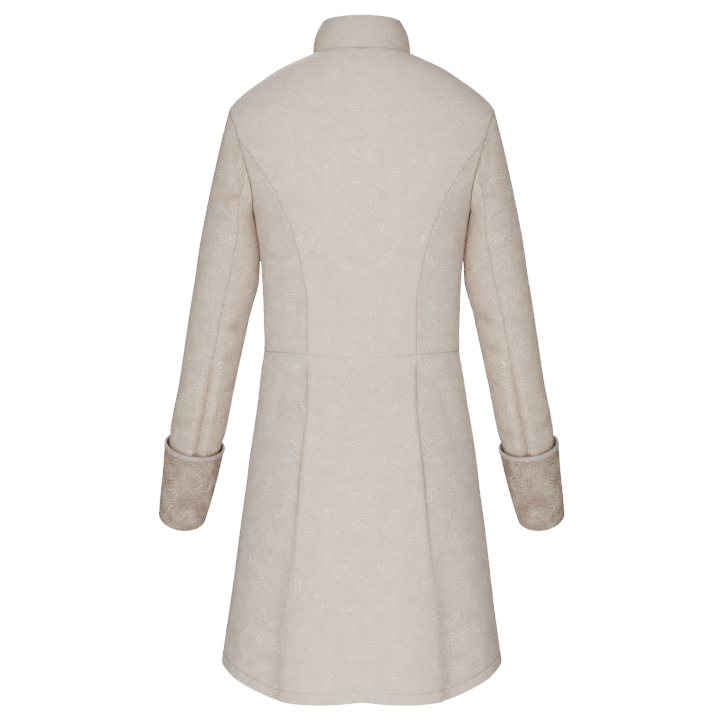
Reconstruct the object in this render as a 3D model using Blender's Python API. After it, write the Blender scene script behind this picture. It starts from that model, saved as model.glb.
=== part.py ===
"""A fitted frock coat with a stand collar, hollow and filled out as when it is worn.

Units are metres and +Z is up. The front faces -Y and the wearer's left is +X. The origin is the middle
of the neck, level with the neck ends of the shoulder seams. Angles round the body start at the centre
back and grow towards the wearer's left, so the centre front is at 180 degrees. A level is the height of
a row of the bodice at the wearer's side; the row itself bends with the waist seam and the neckline.
"""

import math
from bisect import bisect_right
from collections import namedtuple
from types import SimpleNamespace

import bmesh
import bpy
from mathutils import Matrix, Vector

# Cloth and seams
WALL = 0.0020
COLLAR_WALL = 0.0024
CUFF_WALL = 0.0025
SEAM_GAP = 0.0003
LAP_CLEARANCE = 0.0008

# Heights at the wearer's side
UNDERARM = -0.235
SHOULDER_TIP = -0.082
BACK_SEAM_TOP = -0.134
WAIST = -0.444
HEM = -0.906

# How far each line dips below its height at the side
WAIST_DROP_BACK = 0.0106
WAIST_DROP_FRONT = 0.0060
NECK_DROP_FRONT = 0.0700

# Armhole, as the angle it reaches behind and before the side line. It is fuller below than above.
ARMHOLE_BACK_ANGLE = 20.5
ARMHOLE_FRONT_ANGLE = 18.0
ARMHOLE_SQUARENESS = 2.4
ARMHOLE_LOW_FULLNESS = 0.3
BACK_SEAM_TIP = 0.0012

# Front edges
FRONT_LAP = 0.015
LAP_EASE = 0.018

# Skirt pleats
PLEAT_UNDERLAP = 0.014
PLEAT_EASE = 0.030
FOLD_GROWTH = 1.5

# Collar
COLLAR_HEIGHT = 0.049
COLLAR_END_ANGLE = 179.0
COLLAR_LEAN_BACK = 0.62
COLLAR_LEAN_FRONT = 0.40
COLLAR_CORNER_DROP = 0.22
COLLAR_CORNER_ANGLE = 9.0

# Sleeves. The two seams are given by the column of the sleeve's rings that they run down. Each piece is
# an upper and a lower solid, which part at the elbow.
SLEEVE_COLUMNS = 22
ELBOW = 0.310
SLEEVE_CLEARANCE = 0.0009
SLEEVE_BLEND = 0.11
FRONT_ARM_SEAM = 7
BACK_ARM_SEAM = 16
ARM_VALLEY_WIDTH = 13.0

# Cuffs
CUFF_BOTTOM = 0.625
CUFF_RIM = 0.505
CUFF_CLEAR_BOTTOM = 0.0004
CUFF_CLEAR_RIM = 0.0024
CUFF_EDGE_DEPTH = 0.0070
CUFF_EDGE_THICKNESS = 0.0040
CUFF_EDGE_ROUND = 0.0018

# Buttons
BUTTON_COUNT = 7
BUTTON_RADIUS = 0.0100
BUTTON_FIRST = -0.092
BUTTON_LAST = -0.410
BUTTON_SEGMENTS = 12
BUTTON_STANDOFF = 0.0004

# How many steps each panel has from edge to edge
BACK_STEPS = 12
BACK_SIDE_STEPS = 5
FRONT_STEPS = 6
PLEAT_PANEL_STEPS = 8
PLEAT_EASE_STEPS = 3
SKIRT_SIDE_STEPS = 4

# Small steps for working out directions, and the edge angle above which shading breaks
TURN_STEP = 0.8
HEIGHT_STEP = 0.002
LEAST_SEAM_SLANT = 0.4
SHARP_ANGLE = 40.0

# Horizontal cuts through the body. Above the underarm and outside the armholes the cut goes on as if
# there were no armhole, which gives the bodice its round back and chest.
BodySection = namedtuple("BodySection", "height half_width back front squareness")
BODY_SECTIONS = [
    BodySection(0.0100, 0.0560, 0.0620, 0.0660, 2.00),
    BodySection(0.0000, 0.0735, 0.0700, 0.0700, 2.00),
    BodySection(-0.0075, 0.0920, 0.0755, 0.0720, 1.92),
    BodySection(-0.0225, 0.1250, 0.0845, 0.0745, 1.85),
    BodySection(-0.0375, 0.1475, 0.0910, 0.0770, 1.85),
    BodySection(-0.0525, 0.1690, 0.0962, 0.0795, 1.86),
    BodySection(-0.0675, 0.1865, 0.1003, 0.0825, 1.90),
    BodySection(-0.0820, 0.1985, 0.1035, 0.0860, 1.97),
    BodySection(-0.1000, 0.2060, 0.1070, 0.0915, 2.08),
    BodySection(-0.1300, 0.2060, 0.1115, 0.1010, 2.20),
    BodySection(-0.1585, 0.2000, 0.1145, 0.1080, 2.30),
    BodySection(-0.1850, 0.1900, 0.1158, 0.1135, 2.40),
    BodySection(-0.2100, 0.1765, 0.1160, 0.1170, 2.45),
    BodySection(-0.2350, 0.1625, 0.1150, 0.1195, 2.50),
    BodySection(-0.2700, 0.1562, 0.1115, 0.1205, 2.48),
    BodySection(-0.3165, 0.1510, 0.1045, 0.1190, 2.42),
    BodySection(-0.3700, 0.1480, 0.0965, 0.1150, 2.36),
    BodySection(-0.4100, 0.1470, 0.0920, 0.1110, 2.32),
    BodySection(-0.4440, 0.1468, 0.0905, 0.1090, 2.30),
    BodySection(-0.4700, 0.1508, 0.0935, 0.1105, 2.28),
    BodySection(-0.5175, 0.1560, 0.1080, 0.1160, 2.24),
    BodySection(-0.6000, 0.1680, 0.1275, 0.1260, 2.20),
    BodySection(-0.7000, 0.1822, 0.1440, 0.1370, 2.18),
    BodySection(-0.8000, 0.1950, 0.1580, 0.1460, 2.16),
    BodySection(-0.9060, 0.2095, 0.1700, 0.1545, 2.15),
    BodySection(-0.9450, 0.2140, 0.1740, 0.1570, 2.15),
]

# The curved back seam from the armhole to the waist, as its distance from the middle.
SeamPoint = namedtuple("SeamPoint", "height across")
BACK_SEAM = [
    SeamPoint(-0.134, 0.1815),
    SeamPoint(-0.150, 0.1685),
    SeamPoint(-0.170, 0.1545),
    SeamPoint(-0.190, 0.1410),
    SeamPoint(-0.210, 0.1285),
    SeamPoint(-0.235, 0.1165),
    SeamPoint(-0.260, 0.1060),
    SeamPoint(-0.285, 0.0970),
    SeamPoint(-0.310, 0.0910),
    SeamPoint(-0.335, 0.0860),
    SeamPoint(-0.355, 0.0815),
    SeamPoint(-0.375, 0.0800),
    SeamPoint(-0.460, 0.0800),
]

# The fold of each back pleat from the waist to the hem.
PLEAT_FOLD = [
    SeamPoint(-0.440, 0.0800),
    SeamPoint(-0.490, 0.0790),
    SeamPoint(-0.604, 0.0880),
    SeamPoint(-0.667, 0.0930),
    SeamPoint(-0.731, 0.1000),
    SeamPoint(-0.797, 0.1090),
    SeamPoint(-0.838, 0.1160),
    SeamPoint(-0.879, 0.1205),
    SeamPoint(-0.945, 0.1220),
]

# How far the hem hangs below its height at the side.
HemPoint = namedtuple("HemPoint", "angle drop")
HEM_LINE = [
    HemPoint(0.0, 0.0325),
    HemPoint(16.0, 0.0362),
    HemPoint(33.0, 0.0360),
    HemPoint(42.0, 0.0300),
    HemPoint(51.0, 0.0215),
    HemPoint(61.0, 0.0118),
    HemPoint(72.0, 0.0035),
    HemPoint(90.0, 0.0000),
    HemPoint(180.0, 0.0040),
]

# Soft flares and valleys of the skirt, on both halves. They grow from their start down to the hem.
SkirtFold = namedtuple("SkirtFold", "angle start height width")
SKIRT_FOLDS = [
    SkirtFold(0.0, -0.62, -0.0020, 11.0),
    SkirtFold(24.0, -0.58, 0.0050, 9.0),
    SkirtFold(43.5, -0.66, -0.0070, 6.0),
    SkirtFold(62.0, -0.60, 0.0045, 11.0),
    SkirtFold(113.0, -0.58, 0.0050, 11.0),
    SkirtFold(130.0, -0.62, -0.0050, 8.0),
    SkirtFold(150.0, -0.60, 0.0040, 11.0),
]

# How far the collar has leant in from its foot, as a share of its height, at the wearer's side.
CollarSection = namedtuple("CollarSection", "share lean")
COLLAR_SECTIONS = [
    CollarSection(0.00, 0.0000),
    CollarSection(0.20, 0.0004),
    CollarSection(0.45, 0.0022),
    CollarSection(0.70, 0.0062),
    CollarSection(0.88, 0.0108),
    CollarSection(1.00, 0.0145),
]

# Cuts across the left sleeve, by the distance down its outer side. Each names the outermost and the
# innermost point, its reach behind and before them, where its middle lies from front to back, how far
# its rear is tipped down, how far its seams are turned round it, and the depth of the back seam's valley.
SleeveSection = namedtuple(
    "SleeveSection", "down outer_x outer_z inner_x inner_z back front middle tip twist valley"
)
SLEEVE_SECTIONS = [
    SleeveSection(0.000, 0.1990, -0.0825, 0.1636, -0.2365, 0.0600, 0.0560, 0.002, 0.0, 0.0, 0.0000),
    SleeveSection(0.035, 0.2077, -0.1165, 0.1640, -0.2420, 0.0610, 0.0580, 0.001, 0.0, -6.0, 0.0000),
    SleeveSection(0.080, 0.2186, -0.1610, 0.1622, -0.2520, 0.0630, 0.0600, -0.004, 0.0, -11.0, 0.0002),
    SleeveSection(0.130, 0.2309, -0.2130, 0.1580, -0.2720, 0.0640, 0.0610, -0.014, 0.0, -13.0, 0.0008),
    SleeveSection(0.180, 0.2417, -0.2640, 0.1537, -0.3000, 0.0630, 0.0610, -0.024, 1.0, -7.0, 0.0014),
    SleeveSection(0.235, 0.2505, -0.3170, 0.1547, -0.3350, 0.0610, 0.0600, -0.029, 2.0, -2.0, 0.0022),
    SleeveSection(0.290, 0.2593, -0.3700, 0.1680, -0.3870, 0.0590, 0.0580, -0.030, 4.0, 0.0, 0.0030),
    SleeveSection(0.350, 0.2682, -0.4290, 0.1809, -0.4455, 0.0570, 0.0560, -0.030, 7.0, 0.0, 0.0038),
    SleeveSection(0.410, 0.2772, -0.4880, 0.1935, -0.5040, 0.0550, 0.0530, -0.032, 12.0, 0.0, 0.0045),
    SleeveSection(0.465, 0.2886, -0.5420, 0.2043, -0.5580, 0.0520, 0.0500, -0.038, 16.0, 0.0, 0.0052),
    SleeveSection(0.505, 0.2952, -0.5780, 0.2128, -0.5900, 0.0490, 0.0470, -0.045, 19.5, 0.0, 0.0045),
    SleeveSection(0.560, 0.3021, -0.6300, 0.2248, -0.6400, 0.0445, 0.0435, -0.060, 24.0, 0.0, 0.0000),
    SleeveSection(0.600, 0.3085, -0.6710, 0.2368, -0.6820, 0.0415, 0.0410, -0.074, 27.0, 0.0, 0.0000),
    SleeveSection(0.640, 0.3135, -0.7065, 0.2480, -0.7150, 0.0395, 0.0395, -0.091, 30.0, 0.0, 0.0000),
]

# A button's rings, from its shank to its domed face: their radius as a share of its own, and their rise.
ButtonRing = namedtuple("ButtonRing", "reach rise")
BUTTON_RINGS = [
    ButtonRing(0.40, 0.0000),
    ButtonRing(0.40, 0.0007),
    ButtonRing(0.94, 0.0009),
    ButtonRing(1.00, 0.0020),
    ButtonRing(0.82, 0.0040),
    ButtonRing(0.45, 0.0052),
]

# Rows of each mesh
BODICE_LOW_LEVELS = [WAIST, -0.412, -0.378, -0.344, -0.312, -0.284, -0.258]
ARMHOLE_LEVELS = [
    UNDERARM, -0.2315, -0.224, -0.212, -0.195, -0.175, -0.154, BACK_SEAM_TOP, -0.116, -0.100, -0.088,
    SHOULDER_TIP,
]
SHOULDER_LEVELS = [-0.0675, -0.0525, -0.0375, -0.0225, -0.0090, 0.0]
BODICE_LEVELS = BODICE_LOW_LEVELS + ARMHOLE_LEVELS + SHOULDER_LEVELS
SKIRT_ROWS = [0.0, 0.05, 0.12, 0.20, 0.29, 0.38, 0.47, 0.56, 0.65, 0.74, 0.83, 0.92, 1.0]
UPPER_ARM_ROWS = [
    0.0, 0.013, 0.030, 0.050, 0.074, 0.102, 0.132, 0.165, 0.200, 0.235, 0.272, ELBOW - SEAM_GAP / 2,
]
FOREARM_ROWS = [ELBOW + SEAM_GAP / 2, 0.350, 0.390, 0.430, 0.468, CUFF_RIM, 0.560, 0.595, CUFF_BOTTOM]
CUFF_ROWS = [CUFF_BOTTOM, 0.600, 0.568, 0.535, 0.5145]

# Colours as linear red, green and blue
IVORY = (0.610, 0.558, 0.497)
IVORY_LIGHT = (0.660, 0.610, 0.555)
BUTTON_IVORY = (0.560, 0.500, 0.430)


class Curve:
    """A smooth curve through pairs of place and value that never overshoots them."""

    def __init__(self, pairs):
        pairs = sorted(pairs)
        self.places = [place for place, _ in pairs]
        self.values = [value for _, value in pairs]
        steps = [b - a for a, b in zip(self.places, self.places[1:])]
        rises = [(b - a) / step for a, b, step in zip(self.values, self.values[1:], steps)]
        self.slopes = [rises[0]]
        for i in range(1, len(rises)):
            before, after = rises[i - 1], rises[i]
            if before * after <= 0:
                self.slopes.append(0.0)
                continue
            near = 2 * steps[i] + steps[i - 1]
            far = steps[i] + 2 * steps[i - 1]
            self.slopes.append((near + far) / (near / before + far / after))
        self.slopes.append(rises[-1])

    def __call__(self, place):
        place = min(max(place, self.places[0]), self.places[-1])
        i = min(bisect_right(self.places, place), len(self.places) - 1) - 1
        step = self.places[i + 1] - self.places[i]
        t = (place - self.places[i]) / step
        start, end = self.values[i], self.values[i + 1]
        leave, arrive = self.slopes[i] * step, self.slopes[i + 1] * step
        return (
            start * (1 + 2 * t) * (1 - t) ** 2
            + leave * t * (1 - t) ** 2
            + end * t * t * (3 - 2 * t)
            + arrive * t * t * (t - 1)
        )


def curves(rows):
    """One curve for each named column of a table, read against its first column."""
    first, *others = rows[0]._fields
    return SimpleNamespace(
        **{name: Curve([(getattr(row, first), getattr(row, name)) for row in rows]) for name in others}
    )


BODY = curves(BODY_SECTIONS)
BACK_SEAM_LINE = curves(BACK_SEAM)
PLEAT_LINE = curves(PLEAT_FOLD)
HEM_CURVE = curves(HEM_LINE)
COLLAR_LINE = curves(COLLAR_SECTIONS)
SLEEVE = curves(SLEEVE_SECTIONS)


def ease(value):
    """Runs from 0 to 1 with soft ends, and stays at them outside."""
    value = min(max(value, 0.0), 1.0)
    return value * value * (3 - 2 * value)


def spread(start, end, count):
    """Evenly spaced values from start to end, both included."""
    return [start + (end - start) * i / count for i in range(count + 1)]


def from_back(angle):
    """How far an angle is from the centre back, on either side."""
    return abs((angle + 180.0) % 360.0 - 180.0)


def skirt_relief(angle, height):
    """How far the skirt's flares and valleys push its cloth out."""
    relief = 0.0
    for fold in SKIRT_FOLDS:
        if height < fold.start:
            growth = ((fold.start - height) / (fold.start - HEM)) ** FOLD_GROWTH
            away = (from_back(angle) - fold.angle) / fold.width
            relief += fold.height * growth * math.exp(-away * away)
    return relief


def body_radius(angle, height):
    """The distance from the upright axis to the outside of the cloth."""
    across, along = math.sin(math.radians(angle)), math.cos(math.radians(angle))
    depth = BODY.back(height) if along >= 0 else BODY.front(height)
    power = BODY.squareness(height)
    total = (abs(across) / BODY.half_width(height)) ** power + (abs(along) / depth) ** power
    return total ** (-1 / power) + skirt_relief(angle, height)


def body_point(angle, height):
    """A point on the outside of the cloth."""
    radius = body_radius(angle, height)
    turn = math.radians(angle)
    return Vector((radius * math.sin(turn), radius * math.cos(turn), height))


def body_normal(angle, height):
    """The outward direction of the cloth at a point."""
    round_it = body_point(angle + TURN_STEP, height) - body_point(angle - TURN_STEP, height)
    up = body_point(angle, height + HEIGHT_STEP) - body_point(angle, height - HEIGHT_STEP)
    return up.cross(round_it).normalized()


def angle_of(across, height):
    """The angle at which the back of the body is this far from the middle."""
    power = BODY.squareness(height)
    share = min(across / BODY.half_width(height), 1.0)
    along = BODY.back(height) * (1 - share**power) ** (1 / power)
    return math.degrees(math.atan2(across, along))


def arc_angle(length, angle, height):
    """The angle that a length of cloth takes up round the body."""
    return math.degrees(length / body_radius(angle, height))


def backness(angle):
    """1 at the centre back, 0 at the side and -1 at the centre front."""
    return math.cos(math.radians(angle))


def waist_height(angle):
    along = backness(angle)
    return WAIST - (WAIST_DROP_BACK if along > 0 else WAIST_DROP_FRONT) * along**2


def hem_height(angle):
    return HEM - HEM_CURVE.drop(from_back(angle))


def neck_height(angle):
    return -NECK_DROP_FRONT * max(-backness(angle), 0.0) ** 3


def bodice_height(angle, level):
    """The height of a bodice row at an angle: it follows the waist seam below and the neckline above."""
    near_waist = ease((UNDERARM - level) / (UNDERARM - WAIST))
    near_neck = max(1 - level / UNDERARM, 0.0)
    return level + (waist_height(angle) - WAIST) * near_waist + neck_height(angle) * near_neck


def skirt_height(angle, share):
    """The height of a skirt row at an angle, from the waist seam to the hem."""
    top = waist_height(angle) - SEAM_GAP
    return top + (hem_height(angle) - top) * share


def armhole_angle(level, front):
    """The angle of the armhole's edge on a bodice row."""
    middle, half = (UNDERARM + SHOULDER_TIP) / 2, (SHOULDER_TIP - UNDERARM) / 2
    low = min(max((middle - level) / half, -1.0), 1.0)
    bulge = (1 - abs(low) ** ARMHOLE_SQUARENESS) ** (1 / ARMHOLE_SQUARENESS)
    bulge *= 1 + ARMHOLE_LOW_FULLNESS * low
    if front:
        return 90.0 + ARMHOLE_FRONT_ANGLE * bulge
    return 90.0 - ARMHOLE_BACK_ANGLE * bulge


def side_angle(level, front):
    """The angle of a bodice panel's outer edge: side seam, armhole or shoulder seam."""
    if UNDERARM < level < SHOULDER_TIP:
        return armhole_angle(level, front)
    return 90.0


def back_seam_angle(level):
    """The angle of the curved back seam on a bodice row, up to the armhole."""
    across = BACK_SEAM_LINE.across(level)
    angle = angle_of(across, bodice_height(angle_of(across, level), level))
    edge = side_angle(level, False)
    return min(angle, edge - arc_angle(BACK_SEAM_TIP, edge, level))


def pleat_angle(share):
    """The angle of the pleat's fold on a skirt row, closing in on it from the centre back."""
    angle = 0.0
    for _ in range(5):
        height = skirt_height(angle, share)
        angle = angle_of(PLEAT_LINE.across(height), height)
    return angle


def cloth_material(name, colour, roughness):
    material = bpy.data.materials.new(name)
    material.use_nodes = True
    shader = material.node_tree.nodes["Principled BSDF"]
    shader.inputs["Base Color"].default_value = (*colour, 1.0)
    shader.inputs["Roughness"].default_value = roughness
    shader.inputs["Metallic"].default_value = 0.0
    return material


def add_object(name, mesh, colour, roughness=0.6):
    """Closes off a mesh as a named object with its own material."""
    shape = bmesh.new()
    shape.from_mesh(mesh)
    bmesh.ops.recalc_face_normals(shape, faces=shape.faces)
    shape.to_mesh(mesh)
    shape.free()
    mesh.shade_smooth()
    mesh.set_sharp_from_angle(angle=math.radians(SHARP_ANGLE))
    mesh.materials.append(cloth_material(name, colour, roughness))
    made = bpy.data.objects.new(name, mesh)
    bpy.context.collection.objects.link(made)
    return made


def nudge(edge, inner, before, after, length):
    """The step that draws an edge point in, so that the edge itself moves in by the length."""
    way = (inner - edge).normalized()
    along = (after - before).normalized()
    return way * length / max(way.cross(along).length, LEAST_SEAM_SLANT)


def draw_in(grid, first, last):
    """A grid of (point, normal) pairs with its first or last column drawn in from its seam."""
    drawn = [list(row) for row in grid]
    for column, inner, wanted in ((0, 1, first), (-1, -2, last)):
        if not wanted:
            continue
        edge = [row[column][0] for row in grid]
        for i, row in enumerate(drawn):
            before, after = edge[max(i - 1, 0)], edge[min(i + 1, len(edge) - 1)]
            step = nudge(edge[i], row[inner][0], before, after, SEAM_GAP / 2)
            row[column] = (edge[i] + step, row[column][1])
    return drawn


def wall_mesh(name, grid, wall, ring=False):
    """A closed wall below a grid of outer points with their normals. A ring's columns meet."""
    rows, columns = len(grid), len(grid[0])
    outer = [point for row in grid for point, _ in row]
    inner = [point - normal * wall for row in grid for point, normal in row]
    below = len(outer)
    faces = []
    for i in range(rows - 1):
        for j in range(columns if ring else columns - 1):
            k = (j + 1) % columns
            a, b = i * columns + j, i * columns + k
            c, d = a + columns, b + columns
            faces.append((a, c, d, b))
            faces.append((a + below, b + below, d + below, c + below))
    for row in (0, rows - 1):
        for j in range(columns if ring else columns - 1):
            a, b = row * columns + j, row * columns + (j + 1) % columns
            faces.append((a, b, b + below, a + below))
    if not ring:
        for column in (0, columns - 1):
            for i in range(rows - 1):
                a = i * columns + column
                b = a + columns
                faces.append((a, b, b + below, a + below))
    mesh = bpy.data.meshes.new(name)
    mesh.from_pydata(outer + inner, [], faces)
    return mesh


def mirrored(grid):
    """The same grid on the wearer's right."""
    flip = Vector((-1, 1, 1))
    return [[(point * flip, normal * flip) for point, normal in row] for row in grid]


def body_grid(rows, columns, height, lift=None):
    """Outer points and normals for each row, at the angles that columns(row) gives."""
    grid = []
    for row in rows:
        line = []
        for angle in columns(row):
            z = height(angle, row)
            normal = body_normal(angle, z)
            rise = lift(angle, row) if lift else 0.0
            line.append((body_point(angle, z) + normal * rise, normal))
        grid.append(line)
    return grid


def add_panel(name, grid, drawn=(True, True)):
    """A panel of cloth, with its first and last columns drawn in where they meet a seam."""
    add_object(name, wall_mesh(name, draw_in(grid, *drawn), WALL), IVORY)


def add_pair(name, grid, drawn=(True, True)):
    """A panel on the wearer's left and its mirror image on the right."""
    add_panel(f"{name}_left", grid, drawn)
    add_panel(f"{name}_right", mirrored(grid), drawn)


def raise_waist(angle, level):
    """A bodice row's height, with the lowest row kept off the waist seam by the seam's gap."""
    return bodice_height(angle, level) + (SEAM_GAP / 2 if level == WAIST else 0.0)


def make_back_centre():
    """The wide back panel between the curved seams, up to the shoulders and the neck."""

    def columns(level):
        edge = back_seam_angle(level) if level <= BACK_SEAM_TOP else side_angle(level, False)
        return spread(-edge, edge, BACK_STEPS)

    add_panel("back_centre", body_grid(BODICE_LEVELS, columns, raise_waist))


def make_back_sides():
    """The panels between the curved back seams and the side seams."""
    levels = [level for level in BODICE_LEVELS if level <= BACK_SEAM_TOP]

    def columns(level):
        return spread(back_seam_angle(level), side_angle(level, False), BACK_SIDE_STEPS)

    add_pair("back_side", body_grid(levels, columns, raise_waist))


def lap_angles(height):
    """The angles of the front's inner lap line, the centre front and the outer edge."""
    lap = arc_angle(FRONT_LAP, 180.0, height)
    return [180.0 - lap, 180.0, 180.0 + lap]


def under_lap(angle, height):
    """How far the right front is let down so that the left one lies on it."""
    start = lap_angles(height)[0]
    away = math.radians(start - angle) * body_radius(start, height)
    return -(WALL + LAP_CLEARANCE) * (1 - ease(away / LAP_EASE))


def front_columns(outer, height):
    """Column angles of a front, from its side edge to the front edge."""
    lap = lap_angles(height)
    eased = lap[0] - arc_angle(LAP_EASE, 180.0, height)
    return spread(outer, eased, FRONT_STEPS) + [(eased + lap[0]) / 2] + lap


def make_fronts():
    """The two fronts of the bodice. The left one laps over the right one."""

    def columns(level):
        return front_columns(side_angle(level, True), bodice_height(180.0, level))

    def let_down(angle, level):
        return under_lap(angle, bodice_height(180.0, level))

    under = body_grid(BODICE_LEVELS, columns, raise_waist, let_down)
    add_panel("front_left", body_grid(BODICE_LEVELS, columns, raise_waist), drawn=(True, False))
    add_panel("front_right", mirrored(under), drawn=(True, False))


def make_skirt_centre():
    """The middle of the skirt's back, whose folded edges lie on the side panels."""

    def columns(share):
        fold = pleat_angle(share)
        lap = arc_angle(PLEAT_UNDERLAP, fold, skirt_height(fold, share))
        return [-fold] + spread(lap - fold, fold - lap, PLEAT_PANEL_STEPS) + [fold]

    add_panel("skirt_back_centre", body_grid(SKIRT_ROWS[::-1], columns, skirt_height), drawn=(False, False))


def pleat_drop(angle, share):
    """How far the side panel of the skirt lies below the pleat's folded edge and just beside it."""
    fold = pleat_angle(share)
    away = math.radians(angle - fold) * body_radius(fold, skirt_height(fold, share))
    return -(WALL + LAP_CLEARANCE) * (1 - ease(away / PLEAT_EASE))


def make_skirt_sides():
    """The panels from under the pleats to the side seams."""

    def columns(share):
        fold = pleat_angle(share)
        height = skirt_height(fold, share)
        lap = arc_angle(PLEAT_UNDERLAP, fold, height)
        eased = fold + arc_angle(PLEAT_EASE, fold, height)
        under = [fold - lap] + spread(fold, eased, PLEAT_EASE_STEPS)
        return under[:-1] + spread(eased, 90.0, SKIRT_SIDE_STEPS)

    grid = body_grid(SKIRT_ROWS[::-1], columns, skirt_height, pleat_drop)
    add_pair("skirt_side", grid, drawn=(False, True))


def make_skirt_fronts():
    """The skirt's fronts, lapped like the bodice's."""
    rows = SKIRT_ROWS[::-1]

    def columns(share):
        return front_columns(90.0, skirt_height(180.0, share))

    def let_down(angle, share):
        return under_lap(angle, skirt_height(180.0, share))

    under = body_grid(rows, columns, skirt_height, let_down)
    add_panel("skirt_front_left", body_grid(rows, columns, skirt_height), drawn=(True, False))
    add_panel("skirt_front_right", mirrored(under), drawn=(True, False))


def grid_normals(points, ring):
    """Pairs each point of a grid with its outward normal, taken from its neighbours."""
    rows, columns = len(points), len(points[0])
    grid = []
    for i in range(rows):
        line = []
        for j in range(columns):
            left = points[i][(j - 1) % columns if ring else max(j - 1, 0)]
            right = points[i][(j + 1) % columns if ring else min(j + 1, columns - 1)]
            up, down = points[min(i + 1, rows - 1)][j], points[max(i - 1, 0)][j]
            line.append((points[i][j], (up - down).cross(right - left).normalized()))
        grid.append(line)
    return grid


def collar_point(angle, share):
    """A point on the outside of the collar, from its foot at 0 to its top at 1."""
    foot = body_point(angle, neck_height(angle))
    along = backness(angle)
    side_share = 1 - (1 - (COLLAR_LEAN_BACK if along > 0 else COLLAR_LEAN_FRONT)) * along**2
    lean = COLLAR_LINE.lean(share) * side_share
    from_end = COLLAR_END_ANGLE - abs(angle)
    corner = 1 - COLLAR_CORNER_DROP * (1 - ease(from_end / COLLAR_CORNER_ANGLE)) ** 2
    out = Vector((foot.x, foot.y, 0)).normalized()
    return foot - out * lean + Vector((0, 0, SEAM_GAP + COLLAR_HEIGHT * share * corner))


def make_collar():
    """The stand collar, one band round the neck with rounded front corners."""
    before = front_columns(90.0, neck_height(180.0))[1:-2] + [COLLAR_END_ANGLE]
    angles = [-angle for angle in before[::-1]] + spread(-90.0, 90.0, BACK_STEPS) + before
    points = [[collar_point(angle, row.share) for angle in angles] for row in COLLAR_SECTIONS]
    mesh = wall_mesh("collar", grid_normals(points, False), COLLAR_WALL)
    add_object("collar", mesh, IVORY)


def armhole_ring():
    """Points on the armhole's edge: from the shoulder tip down the front, and up the back."""
    before = ARMHOLE_LEVELS[::-1]
    behind = ARMHOLE_LEVELS[1:-1]
    places = [(side_angle(level, True), level) for level in before]
    places += [(side_angle(level, False), level) for level in behind]
    return [body_point(angle, bodice_height(angle, level)) for angle, level in places]


def sleeve_point(down, turn):
    """A point on the smooth sleeve. The turn is 0 behind, 90 outside, 180 before and 270 inside."""
    outer = Vector((SLEEVE.outer_x(down), SLEEVE.middle(down), SLEEVE.outer_z(down)))
    inner = Vector((SLEEVE.inner_x(down), SLEEVE.middle(down), SLEEVE.inner_z(down)))
    across, along = math.sin(math.radians(turn)), math.cos(math.radians(turn))
    reach = SLEEVE.back(down) if along >= 0 else SLEEVE.front(down)
    tip = math.radians(SLEEVE.tip(down))
    rear = Vector((0, math.cos(tip), -math.sin(tip)))
    return (outer + inner) / 2 + (outer - inner) / 2 * across + rear * reach * along


def column_turn(column, down):
    """Where a column of the sleeve's rings lies at a distance down it, as a turn."""
    return 90.0 + 360.0 * column / SLEEVE_COLUMNS + SLEEVE.twist(down)


def sleeve_tube(rows, with_valley):
    """Rings of the left sleeve's outside. The first ones bend into the armhole's edge."""
    armhole = armhole_ring()
    first = [sleeve_point(0.0, column_turn(j, 0.0)) for j in range(SLEEVE_COLUMNS)]
    across = sleeve_point(0.0, 90.0) - sleeve_point(0.0, 270.0)
    off_body = Vector((across.z, 0, -across.x)).normalized() * SLEEVE_CLEARANCE
    points = []
    for down in rows:
        keep = 1 - ease(down / SLEEVE_BLEND)
        ring = []
        for j in range(SLEEVE_COLUMNS):
            smooth = sleeve_point(down, column_turn(j, down))
            ring.append(smooth + (armhole[j] + off_body - first[j]) * keep)
        points.append(ring)
    grid = grid_normals(points, True)
    if not with_valley:
        return grid
    for down, line in zip(rows, grid):
        for j, (point, normal) in enumerate(line):
            away = (j - BACK_ARM_SEAM) * 360.0 / SLEEVE_COLUMNS / ARM_VALLEY_WIDTH
            line[j] = (point - normal * SLEEVE.valley(down) * math.exp(-away * away), normal)
    return grid


def make_sleeves():
    """The two pieces of each sleeve, joined at the back seam and the front seam."""
    tube = sleeve_tube((UPPER_ARM_ROWS + FOREARM_ROWS)[::-1], True)
    elbow = len(FOREARM_ROWS)
    for stretch, rings in (("forearm", tube[:elbow]), ("sleeve", tube[elbow:])):
        under = [line[FRONT_ARM_SEAM : BACK_ARM_SEAM + 1] for line in rings]
        top = [line[BACK_ARM_SEAM:] + line[: FRONT_ARM_SEAM + 1] for line in rings]
        add_pair(f"{stretch}_under", under)
        add_pair(f"{stretch}_top", top)


def cuff_offset(down):
    """How far the cuff's outside stands off the sleeve's outside."""
    share = (CUFF_BOTTOM - down) / (CUFF_BOTTOM - CUFF_RIM)
    return CUFF_WALL + CUFF_CLEAR_BOTTOM + (CUFF_CLEAR_RIM - CUFF_CLEAR_BOTTOM) * share


def make_cuffs():
    """The turned-back cuffs, made from the sleeve's points moved out."""
    tube = sleeve_tube(CUFF_ROWS, False)
    grid = [
        [(point + normal * cuff_offset(down), normal) for point, normal in line]
        for down, line in zip(CUFF_ROWS, tube)
    ]
    add_object("cuff_left", wall_mesh("cuff_left", grid, CUFF_WALL, ring=True), IVORY)
    add_object("cuff_right", wall_mesh("cuff_right", mirrored(grid), CUFF_WALL, ring=True), IVORY)


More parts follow.
